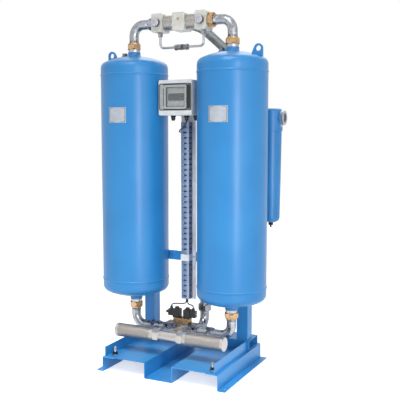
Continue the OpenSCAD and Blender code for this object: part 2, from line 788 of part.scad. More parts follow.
// Filter head: turned body with a port boss on each side.
module filter_head() {
    r = filter_head_d / 2;
    half = filter_head_h / 2;
    boss_d = pipe_d + 28;
    color(tower_blue) translate([filter_x, filter_y, filter_z]) difference() {
        union() {
            rotate_extrude() polygon([[0, -half], [r, -half], [r, half - 14], [r - 4, half - 6],
                [r - 14, half], [0, half]]);
            rotate([0, 90, 0]) cylinder(d = boss_d, h = 2 * port_reach, center = true);
        }
        rotate([0, 90, 0]) cylinder(d = flow_d, h = 2 * port_reach + 2, center = true);
        for (s = [-1, 1]) translate([s * (port_reach - socket), 0, 0]) rotate([0, s * 90, 0])
            cylinder(d = socket_d, h = socket + 1);
        translate([0, 0, -half - 1]) cylinder(d = flow_d - 8, h = half);
    }
}

// Tapered bowl with a screw collar and a rounded foot.
module filter_bowl() {
    top = filter_z - filter_head_h / 2;
    r = bowl_d / 2;
    f = bowl_foot_d / 2;
    w = bowl_wall;
    color(tower_blue) translate([filter_x, filter_y, top - bowl_len]) difference() {
        rotate_extrude() polygon(concat([[0, 0], [f - 26, 0]],
            [for (a = [15 : 15 : 90]) [f - 26 + 26 * sin(a), 26 - 26 * cos(a)]],
            [[r, bowl_len - 22], [r + 4, bowl_len - 20], [r + 4, bowl_len], [0, bowl_len]]));
        rotate_extrude() polygon([[0, w], [f - 22, w], [f - w, 26], [r - w, bowl_len - 20],
            [r - w, bowl_len + 1], [0, bowl_len + 1]]);
        translate([0, 0, -1]) cylinder(d = drain_d + 2 * fit, h = w + 2);
    }
}

module filter_element() {
    top = filter_z - filter_head_h / 2;
    color(bead_white) translate([filter_x, filter_y, top - bowl_len + 90]) difference() {
        union() {
            cylinder(d = bowl_foot_d - 30, h = bowl_len - 90);
            cylinder(d = bowl_foot_d - 24, h = 10);
            translate([0, 0, bowl_len - 102]) cylinder(d = bowl_foot_d - 24, h = 12);
        }
        translate([0, 0, 10]) cylinder(d = flow_d - 8, h = bowl_len);
    }
}

module filter_drain() {
    foot = filter_z - filter_head_h / 2 - bowl_len;
    color(black_tone) translate([filter_x, filter_y, foot]) {
        cylinder(d = drain_d, h = bowl_wall + 3);
        translate([0, 0, -drain_nut]) hex_nut(drain_nut_af, drain_nut, 0);
        translate([0, 0, -drain_nut - drain_spout]) cylinder(d = 0.7 * drain_d, h = drain_spout + 1);
    }
}

// Moulded box with rounded edges, a window opening and the hinge eyes and pin of its window.
module control_box() {
    w = box_wall;
    mid = window_z + window_h / 2;
    color(box_grey) {
        difference() {
            translate([0, strip_y, box_mid_z]) rotate([90, 0, 0]) linear_extrude(box_d)
                rounded_rect(box_w, box_h, 6);
            translate([0, strip_y - w, box_mid_z]) rotate([90, 0, 0]) linear_extrude(box_d - 2 * w)
                rounded_rect(box_w - 2 * w, box_h - 2 * w, 4);
            translate([-view_w / 2, box_y - 1, mid - view_h / 2]) cube([view_w, w + 2, view_h]);
            for (z = [box_z + 25, box_z + box_h - 21]) translate([-box_w / 2 - 1, box_y - 1, z])
                cube([box_w + 2, 2.5, 1.6]);
            for (x = gland_xs) translate([x, gland_y, box_z - 1])
                cylinder(d = gland_shank_d + 2 * fit, h = w + 2);
        }
        translate([window_w / 2 + 4, box_y - 5, mid - window_h / 2]) cube([17, 6, window_h]);
        for (z = [window_z, window_z + window_h - knuckle_len + fit]) translate([hinge_x, hinge_y, z]) {
            cylinder(d = barrel_d, h = knuckle_len - fit);
            translate([-barrel_d / 2, 0, 0]) cube([barrel_d, box_y - hinge_y + 1, knuckle_len - fit]);
        }
        translate([hinge_x, hinge_y, window_z + 1]) cylinder(d = hinge_d, h = window_h - 2);
    }
}

// Clear window: shallow tray with its hinge barrel between the box's two eyes.
module control_window() {
    low = window_z + knuckle_len;
    length = window_h - 2 * knuckle_len;
    back = box_y - fit;
    color([0.80, 0.88, 0.90, 0.45]) difference() {
        union() {
            translate([-window_w / 2, back - window_t, window_z]) cube([window_w, window_t, window_h]);
            translate([hinge_x, hinge_y, low]) cylinder(d = barrel_d, h = length);
            translate([hinge_x, hinge_y - 1.5, low]) cube([barrel_d / 2 + 2, 3, length]);
        }
        translate([-view_w / 2, back - window_t + 2.5, window_z + 10]) cube([view_w, window_t, view_h]);
        translate([hinge_x, hinge_y, window_z - 1]) cylinder(d = hinge_d + 2 * run_fit, h = window_h + 2);
    }
}

// Timer module inside the box, seen through the window, with a raised display.
module control_module() {
    front = box_y + box_wall + 14;
    back = strip_y - box_wall;
    mid = window_z + window_h / 2;
    color([0.30, 0.32, 0.34]) {
        translate([-54, front, mid - 46]) cube([108, back - front, 92]);
        translate([-46, front - 4, mid - 18]) cube([92, 5, 36]);
        for (x = [-36 : 18 : 36]) translate([x - 5, front - 3, mid - 38]) cube([10, 4, 8]);
    }
}

module cable_glands() {
    color(black_tone) for (x = gland_xs) translate([x, gland_y, box_z]) {
        cylinder(d = gland_shank_d, h = box_wall + 6);
        translate([0, 0, -8]) hex_nut(gland_d, 8, 0);
        rotate([180, 0, 0]) rotate_extrude() polygon([[0, 7], [gland_d / 2 - 2, 7],
            [gland_d / 2 - 2, gland_len - 8], [gland_d / 2 - 6, gland_len], [0, gland_len]]);
    }
}

// Slotted trunking, open at the front where the cover goes.
module wiring_duct() {
    height = duct_top - duct_z;
    color([0.60, 0.66, 0.72]) difference() {
        translate([-duct_w / 2, duct_front, duct_z]) cube([duct_w, duct_d, height]);
        translate([-duct_w / 2 + duct_t, duct_front - 1, duct_z - 1])
            cube([duct_w - 2 * duct_t, duct_d - duct_t + 1, height + 2]);
        for (i = [0 : slot_count]) translate([-duct_w / 2 - 1, duct_front + 6, slot_z0 + i * slot_pitch])
            cube([duct_w + 2, duct_d - 14, slot_h]);
    }
}

// Snap-on front of the duct, with a row of round-ended slots level with those in its sides.
module duct_cover() {
    height = duct_top - duct_z;
    inner = duct_w / 2 - duct_t - fit;
    color([0.66, 0.72, 0.78]) {
        difference() {
            translate([-duct_w / 2, duct_front - duct_t, duct_z]) cube([duct_w, duct_t, height]);
            for (i = [0 : slot_count]) translate([0, duct_front + 1, slot_z0 + slot_h / 2 + i * slot_pitch])
                rotate([90, 0, 0]) linear_extrude(duct_t + 2) {
                    square([front_slot - slot_h, slot_h], center = true);
                    for (s = [-1, 1]) translate([s * (front_slot - slot_h) / 2, 0]) circle(d = slot_h);
                }
        }
        for (s = [-1, 1]) translate([s * (inner - 0.75) - 0.75, duct_front - 0.5, duct_z])
            cube([1.5, 5.5, height]);
    }
}

// Saddle strap that holds the duct on the strip.
module duct_clamp() {
    i = duct_w / 2 + fit;
    t = 2;
    front = duct_front - duct_t - fit;
    ear = strip_w / 2 - 2;
    o = i + t;
    b = strip_y;
    color(cream) translate([0, 0, brace_z - 17]) linear_extrude(34) polygon([[-ear, b], [-ear, b - t],
        [-o, b - t], [-o, front - t], [o, front - t], [o, b - t], [ear, b - t], [ear, b], [i, b], [i, front],
        [-i, front], [-i, b]]);
}

module mounting_strip() {
    color(steel_grey) difference() {
        translate([-strip_w / 2, strip_y, strip_z0]) cube([strip_w, strip_t, strip_z1 - strip_z0]);
        for (z = brace_zs) translate([0, strip_y - 1, z]) rotate([-90, 0, 0])
            cylinder(d = brace_bolt_d + 2 * fit, h = strip_t + 2);
    }
}

// Flat bar across both towers, bolted to their tabs.
module brace(z) {
    color(tower_blue) difference() {
        translate([-brace_half, brace_y, z - brace_h / 2]) cube([2 * brace_half, strip_t, brace_h]);
        for (x = [-brace_bolt_x, 0, brace_bolt_x]) translate([x, brace_y - 1, z]) rotate([-90, 0, 0])
            cylinder(d = brace_bolt_d + 2 * fit, h = strip_t + 2);
    }
}

module brace_lower() brace(brace_zs[0]);
module brace_upper() brace(brace_zs[1]);

// Bolts of the posts, braces and mounting strip, all put in from the rear.
module frame_bolts() {
    color(steel_grey) {
        for (s = [-1, 1], z = pad_z) translate([s * axis_x, post_y + post_s, z]) rotate([-90, 0, 0])
            bolt(post_bolt_d, post_wall + pad_hole - 2);
        for (s = [-1, 1], z = brace_zs) translate([s * brace_bolt_x, tab_y + tab_t, z]) rotate([-90, 0, 0])
            bolt(brace_bolt_d, strip_t + tab_t);
        for (z = brace_zs) translate([0, tab_y, z]) rotate([-90, 0, 0]) bolt(brace_bolt_d, 2 * strip_t);
    }
}

// Lower valve body: block with a round arm to each elbow, exhaust port in front and inlet port behind.
module valve_body() {
    r = arm_d / 2;
    color(steel_grey) translate([0, 0, low_z]) difference() {
        union() {
            chamfered_block(valve_w, valve_s, valve_s, 6);
            for (s = [-1, 1]) rotate([0, s * 90, 0]) rotate_extrude() polygon([[0, 0], [r - 4, 0],
                [r - 4, valve_x - 18], [r, valve_x - 16], [r, valve_x], [0, valve_x]]);
        }
        rotate([0, 90, 0]) cylinder(d = flow_d, h = valve_len + 2, center = true);
        for (s = [-1, 1]) translate([s * (valve_x - socket), 0, 0]) rotate([0, s * 90, 0])
            cylinder(d = socket_d, h = socket + 1);
        rotate([90, 0, 0]) cylinder(d = flow_d, h = valve_s);
        translate([inlet_x, 0, 0]) rotate([-90, 0, 0]) cylinder(d = flow_d, h = valve_s);
        translate([inlet_x, valve_s / 2 - socket, 0]) rotate([-90, 0, 0])
            cylinder(d = socket_d, h = valve_s);
        translate([0, -valve_s / 2 + socket, 0]) rotate([90, 0, 0])
            cylinder(d = socket_d, h = valve_s);
    }
}

module pilot_block() {
    color(brass_tone) translate([0, 0, low_z + valve_s / 2 + pilot_h / 2]) {
        chamfered_block(2 * coil_x + 26, 44, pilot_h, 4);
        for (s = [-1, 1]) translate([s * coil_x, 0, pilot_h / 2]) {
            cylinder(d = pilot_tube_d, h = coil_h + fit);
            translate([0, 0, coil_h + fit]) hex_nut(17, 8, 0);
        }
    }
}

// Solenoid coil on its tube, with a square plug on the outer side and the cable spout on top of it.
module coil(side) {
    color(black_tone) mirror([side < 0 ? 1 : 0, 0, 0]) translate([coil_x, 0, coil_z]) {
        difference() {
            linear_extrude(coil_h) rounded_rect(coil_w, 42, 5);
            translate([0, 0, -1]) cylinder(d = pilot_tube_d + 2 * fit, h = coil_h + 2);
        }
        translate([coil_w / 2 + plug_w / 2 - 1, 0, plug_foot]) linear_extrude(plug_h)
            rounded_rect(plug_w + 2, 30, 4);
        translate([spout_x - coil_x, 0, plug_foot + plug_h - 1]) cylinder(d = spout_d, h = spout_len + 1);
    }
}

module coil_left() coil(-1);
module coil_right() coil(1);

module coil_leads() {
    color(black_tone) for (s = [0, 1]) mirror([s, 0, 0]) lead(coil_lead, lead_d);
}

module box_lead() {
    color(black_tone) lead(box_lead_route, lead_d);
}

// Exhaust tee: branch from the valve body and a hex end for each silencer.
module exhaust_tee() {
    branch = silencer_y - valve_s / 2 + socket;
    color(steel_grey) translate([0, -silencer_y, low_z]) difference() {
        union() {
            rotate([0, 90, 0]) cylinder(d = tee_d, h = 2 * tee_half, center = true);
            rotate([-90, 0, 0]) cylinder(d = pipe_d, h = branch);
            rotate([-90, 0, 0]) cylinder(d = tee_neck_d, h = tee_neck);
            for (s = [-1, 1]) translate([s * tee_half, 0, 0]) rotate([0, s * 90, 0])
                hex_nut(tee_nut_af, nut_w, 0);
        }
        rotate([0, 90, 0]) cylinder(d = flow_d, h = 2 * (tee_half + nut_w) + 2, center = true);
        rotate([-90, 0, 0]) cylinder(d = flow_d, h = branch + 1);
    }
}

// Silencer: sleeve between pressed end caps, with a neck that screws into the tee.
module silencer(side) {
    r = silencer_d / 2;
    n = silencer_len;
    neck = flow_d / 2 - fit;
    color(steel_grey) translate([side * (tee_half + nut_w), -silencer_y, low_z]) rotate([0, side * 90, 0])
        rotate_extrude() polygon([[10, -12], [neck, -12], [neck, 0], [r - 3, 0], [r, 3], [r, cap_skirt],
            [r - sleeve_step, cap_skirt + 1], [r - sleeve_step, n - cap_skirt - 1], [r, n - cap_skirt],
            [r, n - 3], [r - 3, n], [0, n], [0, n - 5], [r - 8, n - 5], [r - 8, 5], [10, 5]]);
}

module silencer_left() silencer(-1);
module silencer_right() silencer(1);

// Inlet riser from the valve body up to a threaded port that faces the rear.
module inlet_pipe() {
    color(steel_grey) {
        pipe_run([[inlet_x, valve_s / 2 - socket, low_z], [inlet_x, inlet_y, low_z],
            [inlet_x, inlet_y, inlet_z], [inlet_x, inlet_reach, inlet_z]], pipe_d, pipe_bore, bend_r);
        translate([inlet_x, inlet_y, low_z + bend_r + 26]) hex_nut(union_af, union_h, pipe_d - 1);
        translate([inlet_x, inlet_reach - 40, inlet_z]) rotate([-90, 0, 0]) difference() {
            cylinder(d = pipe_d + 14, h = 40);
            translate([0, 0, -1]) cylinder(d = pipe_d - 1, h = 42);
        }
    }
}

base_deck();
rail_left();
rail_right();
deck_bolts();
cross_beam();
post_left();
post_right();
vessel_left();
vessel_right();
bed_left();
bed_right();
screen_left();
screen_right();
fill_plugs();
nameplate_left();
nameplate_right();
union_top_left();
union_top_right();
union_bottom_left();
union_bottom_right();
elbow_top_left();
elbow_top_right();
elbow_bottom_left();
elbow_bottom_right();
block_left();
block_right();
block_centre();
check_body_left();
check_body_right();
block_caps();
manifold_union();
purge_tube();
purge_valve();
purge_fittings();
outlet_pipe();
filter_head();
filter_bowl();
filter_element();
filter_drain();
control_box();
control_window();
control_module();
cable_glands();
box_lead();
wiring_duct();
duct_cover();
duct_clamp();
mounting_strip();
brace_lower();
brace_upper();
frame_bolts();
valve_body();
pilot_block();
coil_left();
coil_right();
coil_leads();
exhaust_tee();
silencer_left();
silencer_right();
inlet_pipe();
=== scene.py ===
# %% [markdown]
# # A twin-tower desiccant air dryer
# The dryer is a welded steel machine: two painted pressure vessels, a folded base, brass unions,
# galvanised pipe bends, aluminium valve blocks and a small plastic control box. Its solids come from
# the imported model, and every new piece takes its place from them. This lesson gives each surface its
# finish and adds what is finer than a solid: weld ripples, threads, screws, rivets, seals and leads.

# %% Load the frame
import math

import bpy
import numpy as np
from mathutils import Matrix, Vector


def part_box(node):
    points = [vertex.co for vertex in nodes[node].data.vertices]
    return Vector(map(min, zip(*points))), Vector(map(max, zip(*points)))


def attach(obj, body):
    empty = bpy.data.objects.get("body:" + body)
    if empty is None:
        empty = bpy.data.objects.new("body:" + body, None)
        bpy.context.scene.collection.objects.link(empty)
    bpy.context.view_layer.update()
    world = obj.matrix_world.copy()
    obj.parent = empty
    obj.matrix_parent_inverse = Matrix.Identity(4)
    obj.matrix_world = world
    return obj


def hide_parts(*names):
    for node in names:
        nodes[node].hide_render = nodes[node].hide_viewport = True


MM = 0.001
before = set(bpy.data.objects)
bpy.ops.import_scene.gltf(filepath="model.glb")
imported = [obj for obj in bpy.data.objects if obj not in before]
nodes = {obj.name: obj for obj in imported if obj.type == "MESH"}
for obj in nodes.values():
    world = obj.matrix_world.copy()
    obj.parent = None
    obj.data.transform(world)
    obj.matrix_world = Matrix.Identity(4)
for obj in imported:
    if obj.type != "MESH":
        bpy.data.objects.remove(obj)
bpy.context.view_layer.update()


def middle(name):
    """The centre of a node's box."""
    low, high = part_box(name)
    return [(a + b) / 2 for a, b in zip(low, high)]


# %% [markdown]
# ## Camera
# A camera is set by where it stands, where it looks and its lens. Place and lens were worked out from
# the towers and the base in the picture, so the edges of the render fall where the picture has them.
# A lens is stated in millimetres on a sensor 36 mm wide.

# %% Camera
CAMERA_PLACE = (1.65845, -3.21375, 1.2416)
CAMERA_TILT = math.radians(90 - 5.63)
CAMERA_PAN = math.radians(25.82)
CAMERA_LENS = 62.61
SENSOR_WIDTH = 36
VIEW_LIMIT = 60


def make_camera():
    lens = bpy.data.cameras.new("dryer_camera")
    lens.lens = CAMERA_LENS
    lens.sensor_width = SENSOR_WIDTH
    lens.clip_end = VIEW_LIMIT
    camera = bpy.data.objects.new("dryer_camera", lens)
    camera.location = CAMERA_PLACE
    camera.rotation_euler = (CAMERA_TILT, 0, CAMERA_PAN)
    bpy.context.scene.collection.objects.link(camera)
    bpy.context.scene.camera = camera


make_camera()
bpy.context.scene.view_settings.view_transform = "Standard"
print("camera at", CAMERA_PLACE)

# %% [markdown]
# ## Shader maths as Python
# A material is a graph of nodes. Wired by hand, `1 - mask * 0.3` is two nodes and two links. The class
# below wraps one output socket and overloads the arithmetic operators, so the same line of Python adds
# those nodes. Colours and vectors have their own nodes, because a Math node turns a colour grey.
# `Graph.node` makes any other node: its settings first, then its sockets.

# %% Socket wrapper and node graph


class Wire:
    """One output socket of a node graph, with arithmetic that adds Math nodes."""

    def __init__(self, graph, socket):
        self.graph = graph
        self.socket = socket

    def other_output(self, key):
        """Another output of the node that this wire leaves."""
        return Wire(self.graph, self.socket.node.outputs[key])

    def math(self, operation, *others):
        return self.graph.node("ShaderNodeMath", {"operation": operation}, [self, *others])

    def __add__(self, other):
        return self.math("ADD", other)

    def __radd__(self, other):
        return self.math("ADD", other)

    def __sub__(self, other):
        return self.math("SUBTRACT", other)

    def __rsub__(self, other):
        return self.graph.node("ShaderNodeMath", {"operation": "SUBTRACT"}, [other, self])

    def __mul__(self, other):
        return self.math("MULTIPLY", other)

    def __rmul__(self, other):
        return self.math("MULTIPLY", other)

    def __lt__(self, other):
        return self.math("LESS_THAN", other)

    def __abs__(self):
        return self.math("ABSOLUTE")

    def sin(self):
        return self.math("SINE")

    def smooth(self, low, high):
        """0 below low, 1 above high, and a smooth step between them."""
        inputs = {"Value": self, "From Min": low, "From Max": high}
        return self.graph.node("ShaderNodeMapRange", {"interpolation_type": "SMOOTHSTEP"}, inputs)


class Graph:
    """The nodes of a material or of the sky."""

    def __init__(self, tree):
        self.tree = tree

    def node(self, kind, settings=None, inputs=None, output=0):
        """Any node: its settings are set first, then its sockets take values or links."""
        made = self.tree.nodes.new(kind)
        for key, value in (settings or {}).items():
            setattr(made, key, value)
        pairs = enumerate(inputs) if isinstance(inputs, list) else (inputs or {}).items()
        for key, value in pairs:
            self.plug(made.inputs[key], value)
        return Wire(self, made.outputs[output])

    def plug(self, socket, value):
        """A link where the value is a wire, and otherwise a plain number or colour."""
        if isinstance(value, Wire):
            self.tree.links.new(value.socket, socket)
        else:
            socket.default_value = value


print("socket wrapper ready")

# %% Material builder


class Finish(Graph):
    """A material under construction: one Principled shader and the nodes that feed it."""

    def __init__(self, name):
        self.material = bpy.data.materials.new(name)
        self.material.use_nodes = True
        super().__init__(self.material.node_tree)
        self.shader = self.tree.nodes["Principled BSDF"]

    def set(self, **inputs):
        """Sockets of the Principled shader; an underscore in a name stands for a space."""
        for key, value in inputs.items():
            self.plug(self.shader.inputs[key.replace("_", " ")], value)

    def place(self):
        """Object coordinates, which are metres in the part's own frame."""
        return self.node("ShaderNodeTexCoord", output="Object")

    def normal(self):
        return self.node("ShaderNodeNewGeometry", output="Normal")

    def axes(self, vector):
        """The three numbers of a vector."""
        first = self.node("ShaderNodeSeparateXYZ", {}, [vector])
        return [first, first.other_output(1), first.other_output(2)]

    def noise(self, place, scale, detail):
        """Soft noise with about scale waves to the metre."""
        inputs = {"Vector": place, "Scale": scale, "Detail": detail}
        return self.node("ShaderNodeTexNoise", {}, inputs)

    def lines(self, place, scales, detail=2.0):
        """Noise with its own waves to the metre along each axis, which draws fine parallel lines."""
        mapped = self.node("ShaderNodeMapping", {}, {"Vector": place, "Scale": scales})
        return self.noise(mapped, 1.0, detail)

    def mix(self, share, first, second):
        """Colour that goes from first to second as share goes from 0 to 1."""
        return self.node("ShaderNodeMix", {"data_type": "RGBA"}, {0: share, 6: first, 7: second}, 2)

    def bump(self, height, distance, strength):
        inputs = {"Height": height, "Distance": distance, "Strength": strength}
        self.set(Normal=self.node("ShaderNodeBump", {}, inputs))


def paint(red, green, blue, shift=0):
    """A colour in screen values of 0 to 255, all moved by a shift, as the linear values of shaders."""
    values = np.clip(np.array([red, green, blue]) + shift, 0, 255) / 255
    linear = np.where(values <= 0.04045, values / 12.92, ((values + 0.055) / 1.055) ** 2.4)
    return (*linear.tolist(), 1.0)


print("material builder ready")

# %% [markdown]
# ## Floor, sky and lamps
# A catalogue picture has a white background and soft lamps. More light on the floor would also bleach
# the object. Light Path knows which ray asks: to the camera, to mirrors and to glass the floor glows a
# little and the sky is white, while the light that falls on the object stays plain. The glow is added
# to the lit floor, so the soft shadow under the base remains.

# %% Floor and sky
FLOOR_SIZE = 24.0
FLOOR_GLOW = 0.62
SKY_LIGHT = 0.5


def seen_directly(graph):
    """1 for rays from the camera and for mirror and glass rays, 0 for light that falls on things."""
    camera_ray = graph.node("ShaderNodeLightPath", output="Is Camera Ray")
    mirror_ray = camera_ray.other_output("Is Glossy Ray")
    glass_ray = camera_ray.other_output("Is Transmission Ray")
    return camera_ray.math("MAXIMUM", mirror_ray).math("MAXIMUM", glass_ray)


def make_floor():
    """A flat square: corner (i, j) of a two by two grid lies at half a size times (+-1, +-1)."""
    corner = np.array([-0.5, 0.5]) * FLOOR_SIZE
    x, y = np.meshgrid(corner, corner)
    points = np.stack([x, y, 0 * x], -1).reshape(-1, 3)
    mesh = bpy.data.meshes.new("floor")
    mesh.from_pydata(points.tolist(), [], [(0, 1, 3, 2)])
    made = bpy.data.objects.new("floor", mesh)
    bpy.context.scene.collection.objects.link(made)
    finish = Finish("pale_floor")
    finish.set(Base_Color=paint(246, 246, 247), Roughness=0.9, Specular_IOR_Level=0.0)
    finish.set(Emission_Color=FLOOR_GLOW * seen_directly(finish), Emission_Strength=1.0)
    mesh.materials.append(finish.material)


def make_sky():
    world = bpy.data.worlds.new("studio")
    world.use_nodes = True
    bpy.context.scene.world = world
    sky = Graph(world.node_tree)
    background = sky.tree.nodes["Background"]
    background.inputs["Color"].default_value = (1, 1, 1, 1)
    sky.plug(background.inputs["Strength"], SKY_LIGHT + (1 - SKY_LIGHT) * seen_directly(sky))


make_floor()
make_sky()
print("floor", FLOOR_SIZE, "m")

# %% [markdown]
# ## Lamps
# Soft boxes light the machine, because a bare bulb would leave hard spots on the gloss coat. A tall
# narrow box at the right front draws the pale band down each tower, a box above the front lights the
# faces, and a large one above and behind lights the domes evenly. Two weak fills lift the base and the
# right side.

# %% Lamps
MACHINE_MIDDLE = (0, 0, 0.95)


def lamp(name, place, aim, size, power, spread=180):
    """A soft box of the given width and height that looks at the aim; spread is its beam in degrees."""
    light = bpy.data.lights.new(name, "AREA")
    light.shape = "RECTANGLE"
    light.size, light.size_y = size
    light.energy = power
    light.spread = math.radians(spread)
    made = bpy.data.objects.new(name, light)
    made.location = place
    look = np.array(aim, float) - np.array(place, float)
    pan = math.atan2(look[1], look[0]) - math.pi / 2
    tilt = math.atan2(look[2], math.hypot(look[0], look[1])) + math.pi / 2
    made.rotation_euler = (tilt, 0, pan)
    bpy.context.scene.collection.objects.link(made)
    return made


LAMPS = [
    lamp("front_band", (3.2, -3.7, 1.08), MACHINE_MIDDLE, (0.58, 2.0), 62),
    lamp("front_top", (0.6, -4.2, 5.2), (0, 0, 0.5), (2.4, 2.0), 60),
    lamp("base_fill", (0.4, -1.7, 3.4), (0.05, -0.17, 0.08), (1.8, 1.2), 4.8, 30),
    lamp("right_fill", (4.0, -2.0, 1.7), MACHINE_MIDDLE, (2.4, 2.8), 16),
    lamp("back_top", (-0.8, 4.4, 5.4), (0, 0, 0.7), (5.0, 4.0), 100),
]
print("lamps:", [made.name for made in LAMPS])

# %% [markdown]
# ## Blue powder coat
# Towers, base, posts, braces and filter have the same baked powder coat. Powder melts into a gloss
# skin with a faint waviness that painters call orange peel. A noise of about 3 mm gives that bump, a
# slow noise makes the blue drift a little, and fine dust settles on faces that look up. On the folded
# base the edges are a lighter blue, partly rubbed wear and partly a painted highlight: a Bevel node
# gives the normal of a rounded edge, and where it leans away from the true normal there is an edge.
# The filter's free port is masked off and stays bare.

# %% Blue powder coat
TOWER_BLUES = (paint(39, 126, 190), paint(44, 133, 197))
FOLDED_BLUES = (paint(44, 134, 200), paint(49, 141, 206))
# Lighter blue for the base's edges: partly rubbed wear, partly a painted edge highlight.
WORN_AND_HIGHLIT_EDGE_BLUE = paint(116, 176, 222)
DUST = paint(120, 160, 200)
BARE_METALS = (paint(158, 162, 166), paint(196, 199, 202))
WORN_AND_HIGHLIT_EDGE_WIDTH = 3 * MM
FILTER_PORT = 17 * MM
MASK_EDGE = 1 * MM


def edge_wear_and_highlight_mask(finish, radius):
    """0 on flats and up to 1 on edges: how far a rounded-off normal leans away from the true one."""
    rounded = finish.node("ShaderNodeBevel", {"samples": 4}, {"Radius": radius})
    pair = [rounded, finish.normal()]
    agree = finish.node("ShaderNodeVectorMath", {"operation": "DOT_PRODUCT"}, pair, "Value")
    return (1 - agree).smooth(0.02, 0.25)


def drifting(finish, place, tones):
    """Two tones in slow drifts about a third of a metre wide."""
    return finish.mix(finish.noise(place, 3.0, 2.0).smooth(0.35, 0.65), *tones)


def orange_peel(finish, place):
    """Shallow waves of about 3 mm."""
    finish.bump(finish.noise(place, 330.0, 1.0), 0.4 * MM, 0.12)


def powder_coat(name, tones, gloss, edge_radius=0.0):
    finish = Finish(name)
    place = finish.place()
    colour = drifting(finish, place, tones)
    up = finish.axes(finish.normal())[2].smooth(0.8, 1.0)
    specks = finish.noise(place, 60.0, 4.0).smooth(0.5, 0.75)
    dusty = up * (specks * 0.1 + 0.02)
    if edge_radius:
        # Lighter edges: partly rubbed wear and partly a painted highlight along the edges.
        lighter_edge_share = edge_wear_and_highlight_mask(finish, edge_radius) * finish.noise(place, 45.0, 3.0).smooth(0.3, 0.7)
        colour = finish.mix(lighter_edge_share * 0.45, colour, WORN_AND_HIGHLIT_EDGE_BLUE)
    finish.set(Base_Color=finish.mix(dusty, colour, DUST))
    finish.set(Roughness=gloss + 0.08 * finish.noise(place, 14.0, 2.0) + 0.2 * dusty)
    orange_peel(finish, place)
    return finish.material


def bare_ended_coat(name, end):
    """The same coat, masked off where x passes the given end, so that a machined port stays bare."""
    finish = Finish(name)
    place = finish.place()
    bare = finish.axes(place)[0].smooth(end, end + MASK_EDGE)
    metal = finish.mix(finish.lines(place, (1400, 40, 40)), *BARE_METALS)
    coat = drifting(finish, place, TOWER_BLUES)
    finish.set(Base_Color=finish.mix(bare, coat, metal), Metallic=0.8 * bare)
    finish.set(Roughness=0.36 + 0.06 * finish.noise(place, 14.0, 2.0) - 0.08 * bare)
    orange_peel(finish, place)
    return finish.material


FINISHES = {
    "blue": powder_coat("blue_powder_coat", TOWER_BLUES, 0.3),
    "folded_blue": powder_coat("folded_sheet_coat", FOLDED_BLUES, 0.36, WORN_AND_HIGHLIT_EDGE_WIDTH),
    "filter_head": bare_ended_coat("filter_head_coat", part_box("filter_head")[1][0] - FILTER_PORT),
}
print("blue coats:", sorted(FINISHES))

# %% [markdown]
# ## Galvanised pipe and brass
# Galvanised pipe has spangle, the frost-like crystals of zinc. Voronoi cells are flat patches with a
# random tone each, so they change its brightness and roughness as crystals do; plain noise would look
# like dirt. Brass nuts are turned, with fine rings and a little tarnish, and the short tail of a tower's
# union is steel. A grey edge tint keeps these metals from turning white where they mirror the sky.

# %% Galvanised pipe and brass
EDGE_TINT = paint(120, 122, 128)
BRASS = paint(201, 168, 130)
TARNISH = paint(157, 124, 90)
TAIL_STEEL = paint(186, 182, 178)
TOWER_MIDDLE = 995 * MM
TAIL_REACH = 675.25 * MM


def spangled_zinc(name, tone, spangle, dull=0.2):
    """Zinc with spangle crystals to the metre; dull is its lowest roughness."""
    finish = Finish(name)
    place = finish.place()
    cells = finish.node("ShaderNodeTexVoronoi", {}, {"Vector": place, "Scale": spangle}, "Color")
    crystal = finish.node("ShaderNodeSeparateColor", {}, [cells])
    cloud = finish.noise(place, 25.0, 4.0)
    colour = finish.mix(crystal * 0.7 + cloud * 0.3, paint(*tone, -26), paint(*tone, 22))
    finish.set(Base_Color=colour, Metallic=1.0, Roughness=dull + 0.16 * crystal + 0.08 * cloud)
    finish.set(Specular_Tint=EDGE_TINT)
    finish.bump(cloud, 0.6 * MM, 0.25)
    return finish.material


def turned_brass(name, tail=0.0):
    """Brass; within the given reach of the towers' middle height it is the steel tail of a union."""
    finish = Finish(name)
    place = finish.place()
    stain = finish.noise(place, 40.0, 4.0).smooth(0.45, 0.75)
    colour = finish.mix(stain, BRASS, TARNISH)
    if tail:
        plated = abs(finish.axes(place)[2] - TOWER_MIDDLE) < tail
        colour = finish.mix(plated, colour, TAIL_STEEL)
    rings = finish.lines(place, (60, 60, 900))
    finish.set(Base_Color=colour, Metallic=1.0, Roughness=0.22 + 0.12 * stain + 0.06 * rings)
    finish.set(Specular_Tint=EDGE_TINT)
    finish.bump(rings, 0.3 * MM, 0.3)
    return finish.material


FINISHES |= {
    "galvanised": spangled_zinc("galvanised_pipe", (166, 170, 175), 90.0),
    "dull_pipe": spangled_zinc("dull_galvanised", (138, 142, 144), 60.0, 0.42),
    "valve": spangled_zinc("cast_valve", (160, 164, 170), 220.0),
    "brass": turned_brass("turned_brass"),
    "union": turned_brass("union_brass", TAIL_REACH),
}
print("finishes so far:", len(FINISHES))

# %% [markdown]
# ## Castings, caps and steel
# Valve blocks are painted castings, with a sandy grain under a satin skin; the white mounting strip and
# the clamp have the same skin. Round caps are anodised, and their side wall is darkened as painted
# shade. Ribbed bodies are turned, so their lines run round the axis: noise that is squeezed along that
# axis draws them. Small steel parts are plated and smeared by handling.

# %% Castings, caps and steel


def satin_skin(name, tone):
    finish = Finish(name)
    place = finish.place()
    grain = finish.noise(place, 420.0, 3.0)
    cloud = finish.noise(place, 22.0, 3.0).smooth(0.4, 0.7)
    finish.set(Base_Color=finish.mix(cloud, paint(*tone), paint(*tone, -18)))
    finish.set(Roughness=0.36 + 0.1 * grain, Coat_Weight=0.15)
    finish.bump(grain, 0.4 * MM, 0.25)
    return finish.material


